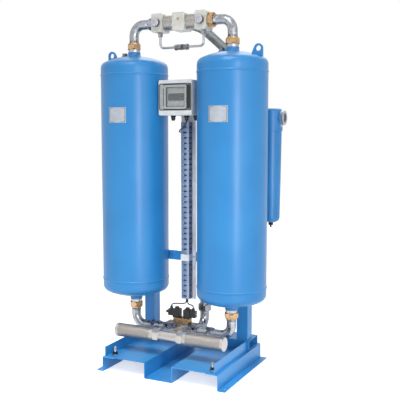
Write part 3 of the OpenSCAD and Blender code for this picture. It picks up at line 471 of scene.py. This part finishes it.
def cap_with_painted_shade_rim(name, tone, painted_shade_rim_tone):
    """Anodised face; the side wall, where the normal doesn't point to the front, is painted shade."""
    finish = Finish(name)
    place = finish.place()
    face = abs(finish.axes(finish.normal())[1]).smooth(0.35, 0.65)
    rings = finish.lines(place, (30, 900, 30))
    light = finish.mix(finish.noise(place, 40.0, 3.0), paint(*tone, -12), paint(*tone))
    # Painted shade: the side wall takes the dark rim tone, and the face takes the light anodised tone.
    finish.set(Base_Color=finish.mix(face, paint(*painted_shade_rim_tone), light), Metallic=0.3)
    finish.set(Roughness=0.34 + 0.1 * rings)
    finish.bump(rings, 0.3 * MM, 0.2)
    return finish.material


def turned_aluminium(name, tone):
    finish = Finish(name)
    place = finish.place()
    rings = finish.lines(place, (1600, 30, 30))
    shade = rings * 0.6 + finish.noise(place, 30.0, 3.0) * 0.4
    finish.set(Base_Color=finish.mix(shade, paint(*tone, -44), paint(*tone)), Metallic=0.9)
    finish.set(Roughness=0.28 + 0.14 * rings)
    finish.bump(rings, 0.3 * MM, 0.3)
    return finish.material


def plated_steel(name, tone):
    finish = Finish(name)
    smear = finish.noise(finish.place(), 120.0, 4.0)
    finish.set(Base_Color=finish.mix(smear, paint(*tone, -40), paint(*tone)), Metallic=1.0)
    finish.set(Roughness=0.2 + 0.2 * smear)
    finish.bump(smear, 0.3 * MM, 0.2)
    return finish.material


FINISHES |= {
    "cream": satin_skin("cream_casting", (216, 217, 209)),
    "strip": satin_skin("strip_white_coat", (236, 238, 240)),
    "clamp": satin_skin("clamp_plastic", (228, 230, 232)),
    # The caps' second, dark tone is painted shade for their side walls.
    "cap": cap_with_painted_shade_rim("anodised_cap", (200, 198, 208), (96, 94, 100)),
    "ribbed": turned_aluminium("turned_aluminium", (206, 202, 198)),
    "zinc": plated_steel("bright_zinc", (188, 190, 194)),
    "dark_steel": plated_steel("blackened_steel", (78, 80, 84)),
    "valve_steel": plated_steel("needle_valve_steel", (146, 148, 150)),
    "knurl": plated_steel("knurled_steel", (112, 113, 115)),
}
print("finishes so far:", len(FINISHES))

# %% [markdown]
# ## Woven silencers
# Exhaust air leaves through a sleeve of woven steel wire between two plain ends. The wires are finer
# than a pixel of the picture, so they are a pattern and not geometry: a sine of the angle round the
# axis times a sine of the length gives the crossings, and a mask keeps them between the ends.

# %% Woven silencers
WEAVE_START = 104 * MM
WEAVE_END = 294 * MM
# Radians of the sines for each radian of turn and for each metre of length.
WEAVE_ROUND = 50
WEAVE_ALONG = 1430


def woven_sleeve(name, tone, axis_y, axis_z):
    """Steel, woven between two distances from the middle: crossed sines of angle and length."""
    finish = Finish(name)
    place = finish.place()
    x, y, z = finish.axes(place)
    angle = (z - axis_z).math("ARCTAN2", y - axis_y)
    weave = (angle * WEAVE_ROUND).sin() * (x * WEAVE_ALONG).sin() * 0.5 + 0.5
    started = abs(x).smooth(WEAVE_START, WEAVE_START + MASK_EDGE)
    ended = abs(x).smooth(WEAVE_END, WEAVE_END + MASK_EDGE)
    inside = started * (1 - ended)
    cloud = finish.lines(place, (8, 30, 30), 3.0)
    shade = (0.35 + 0.3 * weave) * inside + cloud * 0.25
    finish.set(Base_Color=finish.mix(shade, paint(*tone), paint(*tone, -62)), Metallic=0.92)
    finish.set(Roughness=0.3 + 0.14 * inside + 0.1 * cloud)
    finish.bump(weave * inside, 0.8 * MM, 0.5)
    return finish.material


FINISHES["mesh"] = woven_sleeve("woven_steel_sleeve", (190, 185, 180), *middle("silencer_left")[1:])
print("finishes so far:", len(FINISHES))

# %% [markdown]
# ## Plastics and rubber
# Moulded plastic has a fine spark-eroded grain and is never quite even in gloss. Black coil resin is
# darker and a little oily. The lid of the box is a darker grey than its body, and the duct's cover is
# painted lighter towards its right edge, a painted highlight where its rounded edge catches the light.
# The clear window is a thin sheet, so a low alpha with a bright gloss shows what is behind it and still
# mirrors the lamps.

# %% Moulded plastics
GRAIN = 900.0


def moulded(name, tone, rough=0.42, metal=0.0):
    finish = Finish(name)
    place = finish.place()
    grain = finish.noise(place, GRAIN, 2.0)
    cloud = finish.noise(place, 35.0, 3.0)
    colour = finish.mix(cloud.smooth(0.3, 0.7), paint(*tone, -12), paint(*tone))
    finish.set(Base_Color=colour, Metallic=metal)
    finish.set(Roughness=rough + 0.12 * (grain - 0.5) + 0.06 * cloud)
    finish.bump(grain, 0.3 * MM, 0.3)
    return finish.material


FINISHES |= {
    "module": moulded("module_plastic", (176, 178, 174)),
    "black": moulded("black_resin", (30, 30, 32), 0.36),
    "duct": moulded("duct_plastic", (102, 120, 148), 0.4),
    "plate": moulded("plate_foil", (184, 191, 200), 0.34, 0.35),
    "beads": moulded("bead_white", (236, 232, 222), 0.7),
    "rubber": moulded("gasket_rubber", (38, 40, 40), 0.6),
    "sheath": moulded("lead_sheath", (22, 22, 24), 0.45),
    "display": moulded("timer_display", (58, 64, 60), 0.2),
}
print("finishes so far:", len(FINISHES))

# %% Control box, duct cover and window
BOX_FRONT = -76 * MM
LID_STEP = 1.5 * MM
LID_HALF_HEIGHT = 66 * MM
LID_MIDDLE = middle("control_window")[2]
# Where the duct cover's painted highlight begins and where it reaches full strength across x.
PAINTED_HIGHLIGHT_LEFT = -8 * MM
PAINTED_HIGHLIGHT_RIGHT = 26 * MM


def box_plastic(name, tone, lid_tone):
    """Moulded grey; the lid, the part of the front within half its height of its middle, is darker."""
    finish = Finish(name)
    place = finish.place()
    _, y, z = finish.axes(place)
    lid = (y < BOX_FRONT + LID_STEP) * (abs(z - LID_MIDDLE) < LID_HALF_HEIGHT)
    cloud = finish.noise(place, 35.0, 3.0).smooth(0.3, 0.7)
    grain = finish.noise(place, GRAIN, 2.0)
    body = finish.mix(cloud, paint(*tone, -10), paint(*tone))
    finish.set(Base_Color=finish.mix(lid, body, paint(*lid_tone)))
    finish.set(Roughness=0.36 + 0.12 * (grain - 0.5) + 0.06 * cloud)
    finish.bump(grain, 0.3 * MM, 0.3)
    return finish.material


def duct_cover_with_painted_highlight(name, tone, painted_highlight_colour):
    """Grey plastic with a painted highlight towards the cover's right edge, and a cloudy border."""
    finish = Finish(name)
    place = finish.place()
    # Painted highlight: the cover turns lighter towards its right edge, where its rounded edge catches
    # light.
    across = finish.axes(place)[0].smooth(PAINTED_HIGHLIGHT_LEFT, PAINTED_HIGHLIGHT_RIGHT)
    grain = finish.noise(place, GRAIN, 2.0)
    cloud = finish.noise(place, 9.0, 3.0)
    painted_highlight_share = (across * 0.8 + 0.4 * (cloud - 0.5)).math("MAXIMUM", 0.0)
    finish.set(Base_Color=finish.mix(painted_highlight_share, paint(*tone), paint(*painted_highlight_colour)))
    finish.set(Roughness=0.4 + 0.12 * (grain - 0.5))
    finish.bump(grain, 0.3 * MM, 0.3)
    return finish.material


def clear_sheet(name):
    finish = Finish(name)
    smear = finish.noise(finish.place(), 30.0, 3.0).smooth(0.45, 0.8)
    finish.set(Base_Color=paint(206, 216, 220), Specular_IOR_Level=0.4)
    finish.set(Roughness=0.05 + 0.1 * smear, Alpha=0.07 + 0.04 * smear)
    return finish.material


FINISHES |= {
    "grey_box": box_plastic("grey_box_plastic", (212, 216, 218), (166, 169, 168)),
    # The duct cover's second, lighter tone is a painted highlight.
    "duct_cover": duct_cover_with_painted_highlight("duct_cover_with_painted_highlight", (104, 130, 164), (178, 194, 216)),
    "clear": clear_sheet("clear_window"),
}
print("finishes:", len(FINISHES))

# %% [markdown]
# ## Dress the solids
# Each solid keeps its shape and only gets a finish. The table lists the solids by finish, so that one
# look down it shows which pieces of the machine are made alike.

# %% Dress the solids
WEARS = {
    "blue": "vessel_left vessel_right filter_bowl",
    "filter_head": "filter_head",
    "folded_blue": """base_deck rail_left rail_right cross_beam post_left post_right
                      brace_lower brace_upper""",
    "galvanised": "elbow_top_left elbow_top_right elbow_bottom_left elbow_bottom_right inlet_pipe",
    "dull_pipe": "outlet_pipe fill_plugs",
    "union": "union_top_left union_top_right union_bottom_left union_bottom_right",
    "brass": "manifold_union pilot_block",
    "cream": "block_left block_right block_centre",
    "ribbed": "check_body_left check_body_right",
    "cap": "block_caps",
    "zinc": "deck_bolts frame_bolts purge_fittings purge_tube screen_left screen_right",
    "mesh": "silencer_left silencer_right exhaust_tee",
    "grey_box": "control_box",
    "clear": "control_window",
    "module": "control_module",
    "black": "coil_left coil_right coil_leads cable_glands box_lead filter_drain",
    "duct": "wiring_duct",
    "duct_cover": "duct_cover",
    "strip": "mounting_strip",
    "plate": "nameplate_left nameplate_right",
    "clamp": "duct_clamp",
    "beads": "bed_left bed_right filter_element",
    "valve": "valve_body",
    "valve_steel": "purge_valve",
}

dressed = []
for finish_name, names in WEARS.items():
    for node_name in names.split():
        slots = nodes[node_name].data.materials
        slots.clear()
        slots.append(FINISHES[finish_name])
        dressed.append(node_name)
print("dressed:", len(dressed), "bare solids:", sorted(set(nodes) - set(dressed)))

# %% [markdown]
# ## Shapes from arrays
# The next helpers turn numpy arrays into meshes. A surface is a grid of points, one row for each step
# along it and one column for each step round it. The faces come from the same index arithmetic
# whatever the shape is, so a new shape only needs a formula for its points. Several grids of one size
# stack into one piece, which is how a set of equal screws is made.

# %% Grid to mesh


def faces_of(copies, rows, columns, loop):
    """Corners of every square of a grid: point (i, j) with its neighbours in both directions.

    A grid that is no loop is closed by one face over its first row and one over its last."""
    index = np.arange(copies * rows * columns).reshape(copies, rows, columns)
    tall = np.concatenate([index, index[:, :1]], 1) if loop else index
    wide = np.concatenate([tall, tall[:, :, :1]], 2)
    squares = [wide[:, :-1, :-1], wide[:, :-1, 1:], wide[:, 1:, 1:], wide[:, 1:, :-1]]
    ends = [] if loop else index[:, 0, ::-1].tolist() + index[:, -1].tolist()
    return np.stack(squares, -1).reshape(-1, 4).tolist() + ends


def surface(name, grids, finish, loop=False, sharp=40):
    """A piece from one grid, or from a stack of grids, that closes round its columns.

    A loop also closes along its rows. Edges that bend more than the sharp angle stay sharp."""
    grids = grids if grids.ndim == 4 else grids[None]
    mesh = bpy.data.meshes.new(name)
    mesh.from_pydata(grids.reshape(-1, 3).tolist(), [], faces_of(*grids.shape[:3], loop))
    mesh.polygons.foreach_set("use_smooth", np.ones(len(mesh.polygons), bool))
    mesh.set_sharp_from_angle(angle=math.radians(sharp))
    mesh.materials.append(FINISHES[finish])
    piece = bpy.data.objects.new(name, mesh)
    bpy.context.scene.collection.objects.link(piece)
    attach(piece, "dryer")
    print(name, "faces:", len(mesh.polygons))
    return piece


ALL_SMOOTH = 180
print("grid helpers ready")

# %% Turned, stood and swept shapes


def round_steps(count):
    """Angles of one turn in equal steps, without the last, which is the first again."""
    return np.linspace(0, 2 * np.pi, count, endpoint=False)


def turned(profile, sides=48):
    """Turned shape in metres from rows of (radius, height, hexness), the first two in millimetres.

    A point at angle t lies at radius / cos(d), where d is the angle from the nearest flat's middle.
    That is a hexagon; hexness fades it from a circle (0) to the hexagon (1)."""
    radius, height, hexness = np.array(profile, float).T[:, :, None]
    t = round_steps(sides)
    off = (t + np.pi / 6) % (np.pi / 3) - np.pi / 6
    reach = radius * (1 + hexness * (1 / np.cos(off) - 1))
    return np.stack([reach * np.cos(t), reach * np.sin(t), height + 0 * t], -1) * MM


def stood(shape, places, axis=(0, 0, 1)):
    """Copies of a shape, one at each place, with the shape's Z axis laid along the given axis.

    Local x, y and z are multiplied by three unit vectors at right angles and added up."""
    axis = np.array(axis, float) / np.linalg.norm(axis)
    helper = np.array([1.0, 0, 0]) if abs(axis[0]) < 0.9 else np.array([0, 1.0, 0])
    side = np.cross(helper, axis)
    side /= np.linalg.norm(side)
    basis = np.stack([side, np.cross(axis, side), axis])
    return (shape @ basis)[None] + np.array(places, float)[:, None, None, :]


def bezier(points, count=40):
    """Curve of four points: weights (1-t)^3, 3t(1-t)^2, 3t^2(1-t) and t^3 on the points."""
    t = np.linspace(0, 1, count)[:, None]
    p = np.array(points, float)
    return (1 - t) ** 3 * p[0] + 3 * t * (1 - t) ** 2 * p[1] + 3 * t**2 * (1 - t) * p[2] + t**3 * p[3]


def swept(path, radius, across, sides=14):
    """Tube: at each path point a circle in the plane of two vectors at right angles to the path.

    The first is the path's direction crossed with a fixed vector, the second completes the frame."""
    ahead = np.gradient(path, axis=0)
    ahead /= np.linalg.norm(ahead, axis=1, keepdims=True)
    side = np.cross(ahead, across)
    side /= np.linalg.norm(side, axis=1, keepdims=True)
    other = np.cross(ahead, side)
    t = round_steps(sides)[None, :, None]
    return path[:, None] + radius * (np.cos(t) * side[:, None] + np.sin(t) * other[:, None])


def threaded(radius, low, high, pitch, depth, sides=32, steps=8):
    """Screw thread: the radius falls by depth times a triangle wave of height / pitch + angle / turn."""
    height = np.linspace(low, high, int((high - low) / pitch * steps) + 1)[:, None]
    t = round_steps(sides)
    wave = np.abs(((height / pitch + t / (2 * np.pi)) % 1) * 2 - 1)
    reach = radius - depth * (1 - wave)
    return np.stack([reach * np.cos(t), reach * np.sin(t), height + 0 * t], -1)


print("shape helpers ready")

# %% [markdown]
# ## Welds
# Shells are rolled and the dished ends are welded on. A weld freezes in overlapping scales, so its
# cross-section is a flat lens and its height ripples along the seam. A noise bump would give scratches;
# a rippled ring gives scales that follow the joint.

# %% Weld beads
TOWER_X = [middle(name)[0] for name in ("union_top_left", "union_top_right")]
TOWER_R = 177.8 * MM
SEAM_Z = [455 * MM, 1535 * MM]
SEAM_HALF_WIDTH = 5.0 * MM
SEAM_HEIGHT = 2.4 * MM
SEAM_SCALES = 170


def weld_ring(radius, half_width, proud, scales):
    """Ring with a lens section: width half_width cos v, height proud sin v less a tenth for the ripple.

    The ripple is a sine of scales turns, bent by the place across the bead so that scales look round."""
    v = round_steps(12)[:, None]
    t = round_steps(scales * 5)
    up = np.sin(v)
    wave = 1 + np.sin(scales * t + 1.6 * np.cos(v) ** 2)
    reach = radius + proud * up - 0.1 * proud * wave * np.clip(up, 0, 1)
    return np.stack([reach * np.cos(t), reach * np.sin(t), half_width * np.cos(v) + 0 * t], -1)[::-1]


seam = weld_ring(TOWER_R, SEAM_HALF_WIDTH, SEAM_HEIGHT, SEAM_SCALES)
seam_places = [(x, 0, z) for x in TOWER_X for z in SEAM_Z]
surface("seam_welds", stood(seam, seam_places), "blue", loop=True, sharp=ALL_SMOOTH)

# %% [markdown]
# ## Studs on the base
# The base is held by studs with a nut and a washer. A solid stud is a plain bar, and a thread is what
# makes it read as one. The radius of a thread is a triangle wave of height and angle together, which
# is exactly a helix. The nut is a turned shape whose section fades into a hexagon.

# %% Deck studs
STUD_R = 8 * MM
STUD_PITCH = 2 * MM
STUD_DEPTH = 1.1 * MM
FRONT_STUD = (-8 * MM, 41 * MM)
REAR_STUD = (-60 * MM, 23 * MM)
WASHER_EDGE = [(17.2, 0.1, 0), (17.6, 0.5, 0), (17.6, 2.8, 0), (17.2, 3.2, 0)]
WASHER_ROWS = [(6, 0.1, 0), *WASHER_EDGE, (6, 3.2, 0)]
NUT_ROWS = [(6, 3.2, 0), (11.2, 3.2, 0), (12, 4.2, 1), (12, 15, 1), (11.2, 16, 0), (6, 16, 0)]
stud_low, stud_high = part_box("deck_bolts")
beam_low, beam_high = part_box("cross_beam")
washer_radius = max(radius for radius, _, _ in WASHER_ROWS) * MM
stud_x = stud_high[0] - washer_radius
stud_front = stud_low[1] + washer_radius
stud_rear = stud_high[1] - washer_radius
front_places = [(x, stud_front, beam_low[2]) for x in (-stud_x, stud_x)]
rear_places = [(x, stud_rear, beam_high[2]) for x in (-stud_x, stud_x)]
front_stud = threaded(STUD_R, *FRONT_STUD, STUD_PITCH, STUD_DEPTH)
rear_stud = threaded(STUD_R, *REAR_STUD, STUD_PITCH, STUD_DEPTH)
all_places = front_places + rear_places
studs = [
    surface("deck_stud_nuts", stood(turned(NUT_ROWS), all_places), "dark_steel"),
    surface("deck_stud_washers", stood(turned(WASHER_ROWS), all_places), "zinc"),
    surface("deck_studs_front", stood(front_stud, front_places), "zinc"),
    surface("deck_studs_rear", stood(rear_stud, rear_places), "zinc"),
]
for stud in studs:
    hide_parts("deck_bolts")

# %% [markdown]
# ## Nameplates
# A bare plate is riveted to each tower. It is bent round the shell, so its border is a thin bead along
# a rounded rectangle that is drawn in angle and height and then wrapped round the tower. A superellipse
# gives that rectangle one formula for sides and corners.

# %% Plate borders and rivets
PLATE_R = -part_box("nameplate_left")[0][1]
PLATE_MIDDLE = middle("nameplate_left")[2]
BORDER_HALF = (46 * MM, 35 * MM)
BORDER_SECTION = (1.1 * MM, 0.5 * MM)
RIVET_ACROSS = 41 * MM
RIVET_UP = 30 * MM
RIVET_ROWS = [(3, -0.6, 0), (3, 0.3, 0), (2.5, 1.0, 0), (1.4, 1.5, 0), (0.4, 1.7, 0)]


def rounded_loop(half_width, half_height, count=160, power=0.16):
    """Superellipse: width times sign(cos t) |cos t|^power, height times sign(sin t) |sin t|^power."""
    t = round_steps(count) + np.pi / count
    across = half_width * np.sign(np.cos(t)) * np.abs(np.cos(t)) ** power
    upward = half_height * np.sign(np.sin(t)) * np.abs(np.sin(t)) ** power
    return across, upward


def plate_border(tower_x):
    """Bead on the plate: the loop grows by a cosine of the section angle v, and its height above the
    plate is a sine of v; the distance along the plate over its radius is the angle round the tower."""
    across, upward = rounded_loop(*BORDER_HALF)
    v = round_steps(8)
    scale = 1 + BORDER_SECTION[0] * np.cos(v) / BORDER_HALF[0]
    angle = across[:, None] * scale / PLATE_R
    reach = PLATE_R + BORDER_SECTION[1] * np.sin(v) + 0 * angle
    height = PLATE_MIDDLE + upward[:, None] * scale
    return np.stack([tower_x + reach * np.sin(angle), -reach * np.cos(angle), height], -1)[::-1]


def plate_rivets(tower_x):
    """Four rivets: at each side angle of the plate, two heights along the same outward direction."""
    heads = []
    for turn in (-RIVET_ACROSS / PLATE_R, RIVET_ACROSS / PLATE_R):
        out = np.array([math.sin(turn), -math.cos(turn), 0])
        spots = [out * PLATE_R + (tower_x, 0, PLATE_MIDDLE + z) for z in (-RIVET_UP, RIVET_UP)]
        heads.append(stood(turned(RIVET_ROWS, 20), spots, out))
    return np.concatenate(heads)


borders = np.stack([plate_border(x) for x in TOWER_X])
surface("plate_borders", borders, "dark_steel", loop=True, sharp=ALL_SMOOTH)
for tower_x, tower_name in zip(TOWER_X, ("left", "right")):
    surface("plate_rivets_" + tower_name, plate_rivets(tower_x), "zinc")

# %% [markdown]
# ## Control box
# The box is a small wall box: a rubber gasket shows as a dark line round its lid, a dark latch closes
# the window on the right, and a timer with a dark display sits behind the window. Each of them is a
# superellipse carried along a short path, which gives soft moulded corners without any bevel.

# %% Gasket, latch and display
GASKET_HALF_WIDTH = 89 * MM
GASKET_THICK = 2.0 * MM
SEAL_HALF = (66.5 * MM, 62 * MM)
SEAL_THICK = 1.8 * MM
LATCH_X = 76.5 * MM
LATCH_GAP = 0.2 * MM
LATCH_SIZE = (9.2 * MM, 60.2 * MM, 5.6 * MM)
DISPLAY_SUNK = 1.0 * MM
DISPLAY_SIZE = (47 * MM, 18.6 * MM, 1.6 * MM)
DISPLAY_EDGE = 0.5 * MM


def slab(centre, half_width, half_height, depth, edge=0.8 * MM):
    """Flat block that faces the front: superellipse outlines from its back to its front, the last
    ones drawn in by the edge so that its rim is rounded."""
    shrink = np.array([0, 0, 0, 0.3, 1])[:, None] * edge
    reach = np.array([0, 0.5, 1, 1, 1])[:, None] * depth - np.array([0, 0, 1, 0.3, 0])[:, None] * edge
    wide, tall = rounded_loop(1.0, 1.0, 96, 0.2)
    outline = [(half_width - shrink) * wide, 0 * wide - reach, (half_height - shrink) * tall]
    return np.stack(outline, -1) + np.array(centre)


def front_gasket(half_width, half_height, thick):
    """Bead round the lid: a rounded loop on the box front grows by thick cos v, and stands 0.6 thick
    sin v in front of it, for a section angle v."""
    across, upward = rounded_loop(half_width, half_height, 200, 0.1)
    v = round_steps(10)
    grow = thick * np.cos(v)
    x = across[:, None] * (1 + grow / half_width)
    z = LID_MIDDLE + upward[:, None] * (1 + grow / half_height)
    return np.stack([x, BOX_FRONT - 0.6 * thick * np.sin(v) + 0 * x, z], -1)[::-1]


gasket = front_gasket(GASKET_HALF_WIDTH, LID_HALF_HEIGHT, GASKET_THICK)
surface("lid_gasket", gasket, "rubber", loop=True, sharp=ALL_SMOOTH)
seal = front_gasket(*SEAL_HALF, SEAL_THICK)
surface("window_seal", seal, "rubber", loop=True, sharp=ALL_SMOOTH)
latch = slab((LATCH_X, BOX_FRONT - LATCH_GAP, LID_MIDDLE), *LATCH_SIZE)
surface("window_latch", latch, "black")
display_place = (0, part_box("control_module")[0][1] + DISPLAY_SUNK, middle("control_module")[2])
display = slab(display_place, *DISPLAY_SIZE, DISPLAY_EDGE)
surface("timer_display", display, "display")

# %% [markdown]
# ## Leads
# Black leads run from the box and from both coils into the duct. They are held at both ends, so their
# way is fixed: a curve of four points, which bends as gently as the room under the duct allows. A round
# section carried along the curve replaces the faceted solid. An oval sleeve holds the two coil leads
# together where they leave the duct, and the box lead goes round the duct's edge into a slot in its
# side.

# %% Leads
LEAD_R = 3.3 * MM
LEAD_Y = middle("wiring_duct")[1]
LEAD_RISE = 30 * MM
STEM_SHARES = [0.2, 0.45, 0.7]
SPOUT = np.array([65 * MM, 0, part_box("coil_right")[1][2]])
JOIN_X = 3.6 * MM
JOIN_Z = 335 * MM
BOX_ROUTE = np.array([(27, -1, 1297), (27, -1, 1255), (-56, 2, 1240), (-17.5, 54, 1236)]) * MM
SLEEVE_LIP = [(5, 2, 331), (7.9, 4.4, 331), (8.3, 4.8, 332), (7.8, 4.5, 336)]
SLEEVE_ROWS = SLEEVE_LIP + [(7.6, 4.2, 345), (7.6, 4.2, 358), (4, 2, 358)]


def coil_route(side):
    """Curve from a coil's plug to the join, upright at both ends, then a straight stem, whose points lie
    at shares of the rise above the join."""
    start = SPOUT * (side, 1, 1)
    join = np.array([JOIN_X * side, LEAD_Y, JOIN_Z])
    rise = np.array([0, 0, LEAD_RISE])
    stem = join + np.outer(STEM_SHARES, rise)
    return np.concatenate([bezier([start, start + rise, join - rise, join]), stem])


def oval_sleeve(rows):
    """Tube with an oval section: half-width a cos t, half-depth b sin t, for rows of (a, b, height)."""
    wide, deep, height = np.array(rows, float).T[:, :, None] * MM
    t = round_steps(40)
    return np.stack([wide * np.cos(t), LEAD_Y + deep * np.sin(t), height + 0 * t], -1)


coil_tubes = np.stack([swept(coil_route(side), LEAD_R, (side, 1, 0)) for side in (-1, 1)])
coil_leads = surface("coil_lead_pair", coil_tubes, "sheath", sharp=ALL_SMOOTH)
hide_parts("coil_leads")
surface("lead_sleeve", oval_sleeve(SLEEVE_ROWS), "sheath")
box_tube = swept(bezier(BOX_ROUTE), LEAD_R, (0.2, -0.6, 0.8))
box_lead = surface("box_lead_sheath", box_tube, "sheath", sharp=ALL_SMOOTH)
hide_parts("box_lead")

# %% [markdown]
# ## Pipe threads
# Galvanised pipe is screwed into its unions, and a few turns of thread always stay in view. They are
# short helices round the pipe, made by the same thread function as the studs, on the pipe's own axis.

# %% Pipe threads
THREAD_R = 25.2 * MM
THREAD_LENGTH = 12 * MM
THREAD_PITCH = 2.3 * MM
THREAD_DEPTH = 1.0 * MM
THREAD_GAP = 0.2 * MM
THREAD_SHARP = 60
COLLAR_END = -187 * MM
TOP_Z = middle("manifold_union")[2]
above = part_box("union_top_left")[1][2] + THREAD_GAP
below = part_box("union_bottom_left")[0][2] - THREAD_GAP
union_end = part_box("manifold_union")[1][0] + THREAD_GAP
pipe_thread = threaded(THREAD_R, 0, THREAD_LENGTH, THREAD_PITCH, THREAD_DEPTH, 40)
threads = [
    stood(pipe_thread, [(x, 0, above) for x in TOWER_X]),
    stood(pipe_thread, [(x, 0, below) for x in TOWER_X], (0, 0, -1)),
    stood(pipe_thread, [(union_end, 0, TOP_Z)], (1, 0, 0)),
    stood(pipe_thread, [(COLLAR_END - THREAD_GAP, 0, TOP_Z)], (-1, 0, 0)),
]
surface("pipe_threads", np.concatenate(threads), "galvanised", sharp=THREAD_SHARP)

# %% [markdown]
# ## Screws
# Valve blocks are held together by socket screws. One turned profile makes the head and its socket:
# the outer rows are round, the inner rows are hexagons and lead down into the head. A flanged brass
# plug with the same kind of socket closes the port of the centre block. Small pan-head screws hold the
# right coil's plug and the duct clamp.

# %% Socket screws and port plug
SEAT = 0.1 * MM
SOCKET_ROWS = [(6.5, 0, 0), (6.5, 7.2, 0), (5.9, 8, 0), (3.4, 8, 1), (3.2, 7.6, 1), (3.2, 3.4, 1)]
PLUG_SHANK = [(4.2, 0, 0), (4.2, 4, 0), (6.5, 4, 0), (6.5, 6.2, 0)]
PLUG_ROWS = PLUG_SHANK + [(5.9, 6.8, 0), (3.2, 6.8, 1), (3, 4.6, 1)]
BLOCK_SCREW_X = {"block_left": 21 * MM, "block_centre": 27 * MM, "block_right": 21 * MM}
BLOCK_SCREW_UP = 34 * MM
VALVE_SCREW = (80 * MM, 22 * MM)
PORT_RECESS = 3.8 * MM
PORT_UP = 12 * MM
socket_screw = turned(SOCKET_ROWS)
rear_spots = [
    (middle(name)[0] + dx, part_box(name)[1][1] + SEAT, TOP_Z + dz)
    for name, reach in BLOCK_SCREW_X.items()
    for dx in (-reach, reach)
    for dz in (-BLOCK_SCREW_UP, BLOCK_SCREW_UP)
]
surface("block_screws", stood(socket_screw, rear_spots, (0, 1, 0)), "dark_steel")
valve_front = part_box("valve_body")[0][1] - SEAT
valve_z = middle("valve_body")[2]
valve_spots = [
    (dx, valve_front, valve_z + dz)
    for dx in (-VALVE_SCREW[0], VALVE_SCREW[0])
    for dz in (-VALVE_SCREW[1], VALVE_SCREW[1])
]
surface("valve_screws", stood(socket_screw, valve_spots, (0, -1, 0)), "dark_steel")
port_spot = [(0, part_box("block_centre")[0][1] + PORT_RECESS, TOP_Z + PORT_UP)]
surface("port_plug", stood(turned(PLUG_ROWS), port_spot, (0, -1, 0)), "brass")

# %% Pan heads
PAN_ROWS = [(4.5, 0, 0), (4.5, 1.4, 0), (4.0, 2.6, 0), (2.9, 3.2, 0), (1.5, 3.2, 0), (1.4, 1.6, 0)]
CLAMP_EAR = 2 * MM
CLAMP_SCREW_X = 33 * MM
PLUG_UP = 25 * MM
pan_head = turned(PAN_ROWS, 32)
ear_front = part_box("duct_clamp")[1][1] - CLAMP_EAR - SEAT
clamp_spots = [(x, ear_front, middle("duct_clamp")[2]) for x in (-CLAMP_SCREW_X, CLAMP_SCREW_X)]
surface("clamp_screws", stood(pan_head, clamp_spots, (0, -1, 0)), "zinc")
coil_low, coil_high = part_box("coil_right")
plug_end = coil_high[0] + SEAT
plug_z = coil_low[2] + PLUG_UP
surface("plug_screw", stood(pan_head, [(plug_end, 0, plug_z)], (1, 0, 0)), "zinc")

# %% [markdown]
# ## Coil caps and plug gland
# Each solenoid coil is held on its core by a round black cap, and the left coil's plug has a gland with
# a hexagon foot. Both are turned shapes, so rows of radius and height are all that they need.

# %% Coil caps and plug gland
CAP_ROWS = [(11.5, 0, 0), (11.5, 8, 0), (10.6, 10.4, 0), (8, 11.4, 0), (3, 11.8, 0)]
GLAND_ROWS = [(8, 0, 1), (8, 6, 1), (7.2, 6.6, 0), (7.2, 14, 0), (6, 16, 0), (4, 16.6, 0)]
COIL_HEIGHT = 46 * MM
CAP_X = 31 * MM
cap_spots = [(x, 0, coil_low[2] + COIL_HEIGHT + SEAT) for x in (-CAP_X, CAP_X)]
surface("coil_caps", stood(turned(CAP_ROWS, 32), cap_spots), "black")
gland = stood(turned(GLAND_ROWS, 36), [(-plug_end, 0, plug_z)], (-1, 0, 0))
surface("plug_gland", gland, "black")

# %% [markdown]
# ## Needle valve
# The purge flow is set by hand, so the valve's sleeve is knurled. A knurl is two sets of slanted
# grooves that cross: one wave runs with angle plus length, the other with angle minus length, and the
# radius follows the lower of the two.

# %% Knurled sleeve
SLEEVE_R = 14.4 * MM
SLEEVE_HALF = 15 * MM
KNURL_DEPTH = 0.7 * MM
KNURL_TEETH = 32
TAPER_LENGTH = 1.5 * MM


def knurled(radius, half_length, depth, teeth, rows=49, sides=192):
    """Radius less depth times one minus the smaller of two triangle waves, of teeth times (t + k z)
    and (t - k z); near both ends it tapers by 1.2 depths more."""
    height = np.linspace(-half_length, half_length, rows)[:, None]
    t = round_steps(sides)
    turn = t / (2 * np.pi) * teeth
    slide = height / radius / (2 * np.pi) * teeth
    first = np.abs(((turn + slide) % 1) * 2 - 1)
    second = np.abs(((turn - slide) % 1) * 2 - 1)
    taper = np.clip((half_length - np.abs(height)) / TAPER_LENGTH, 0, 1)
    reach = radius - depth * (1 - np.minimum(first, second)) - 1.2 * depth * (1 - taper)
    return np.stack([reach * np.cos(t), reach * np.sin(t), height + 0 * t], -1)


sleeve_place = [(0, 0, middle("purge_valve")[2])]
sleeve = stood(knurled(SLEEVE_R, SLEEVE_HALF, KNURL_DEPTH, KNURL_TEETH), sleeve_place, (1, 0, 0))
surface("needle_sleeve", sleeve, "knurl", sharp=ALL_SMOOTH)
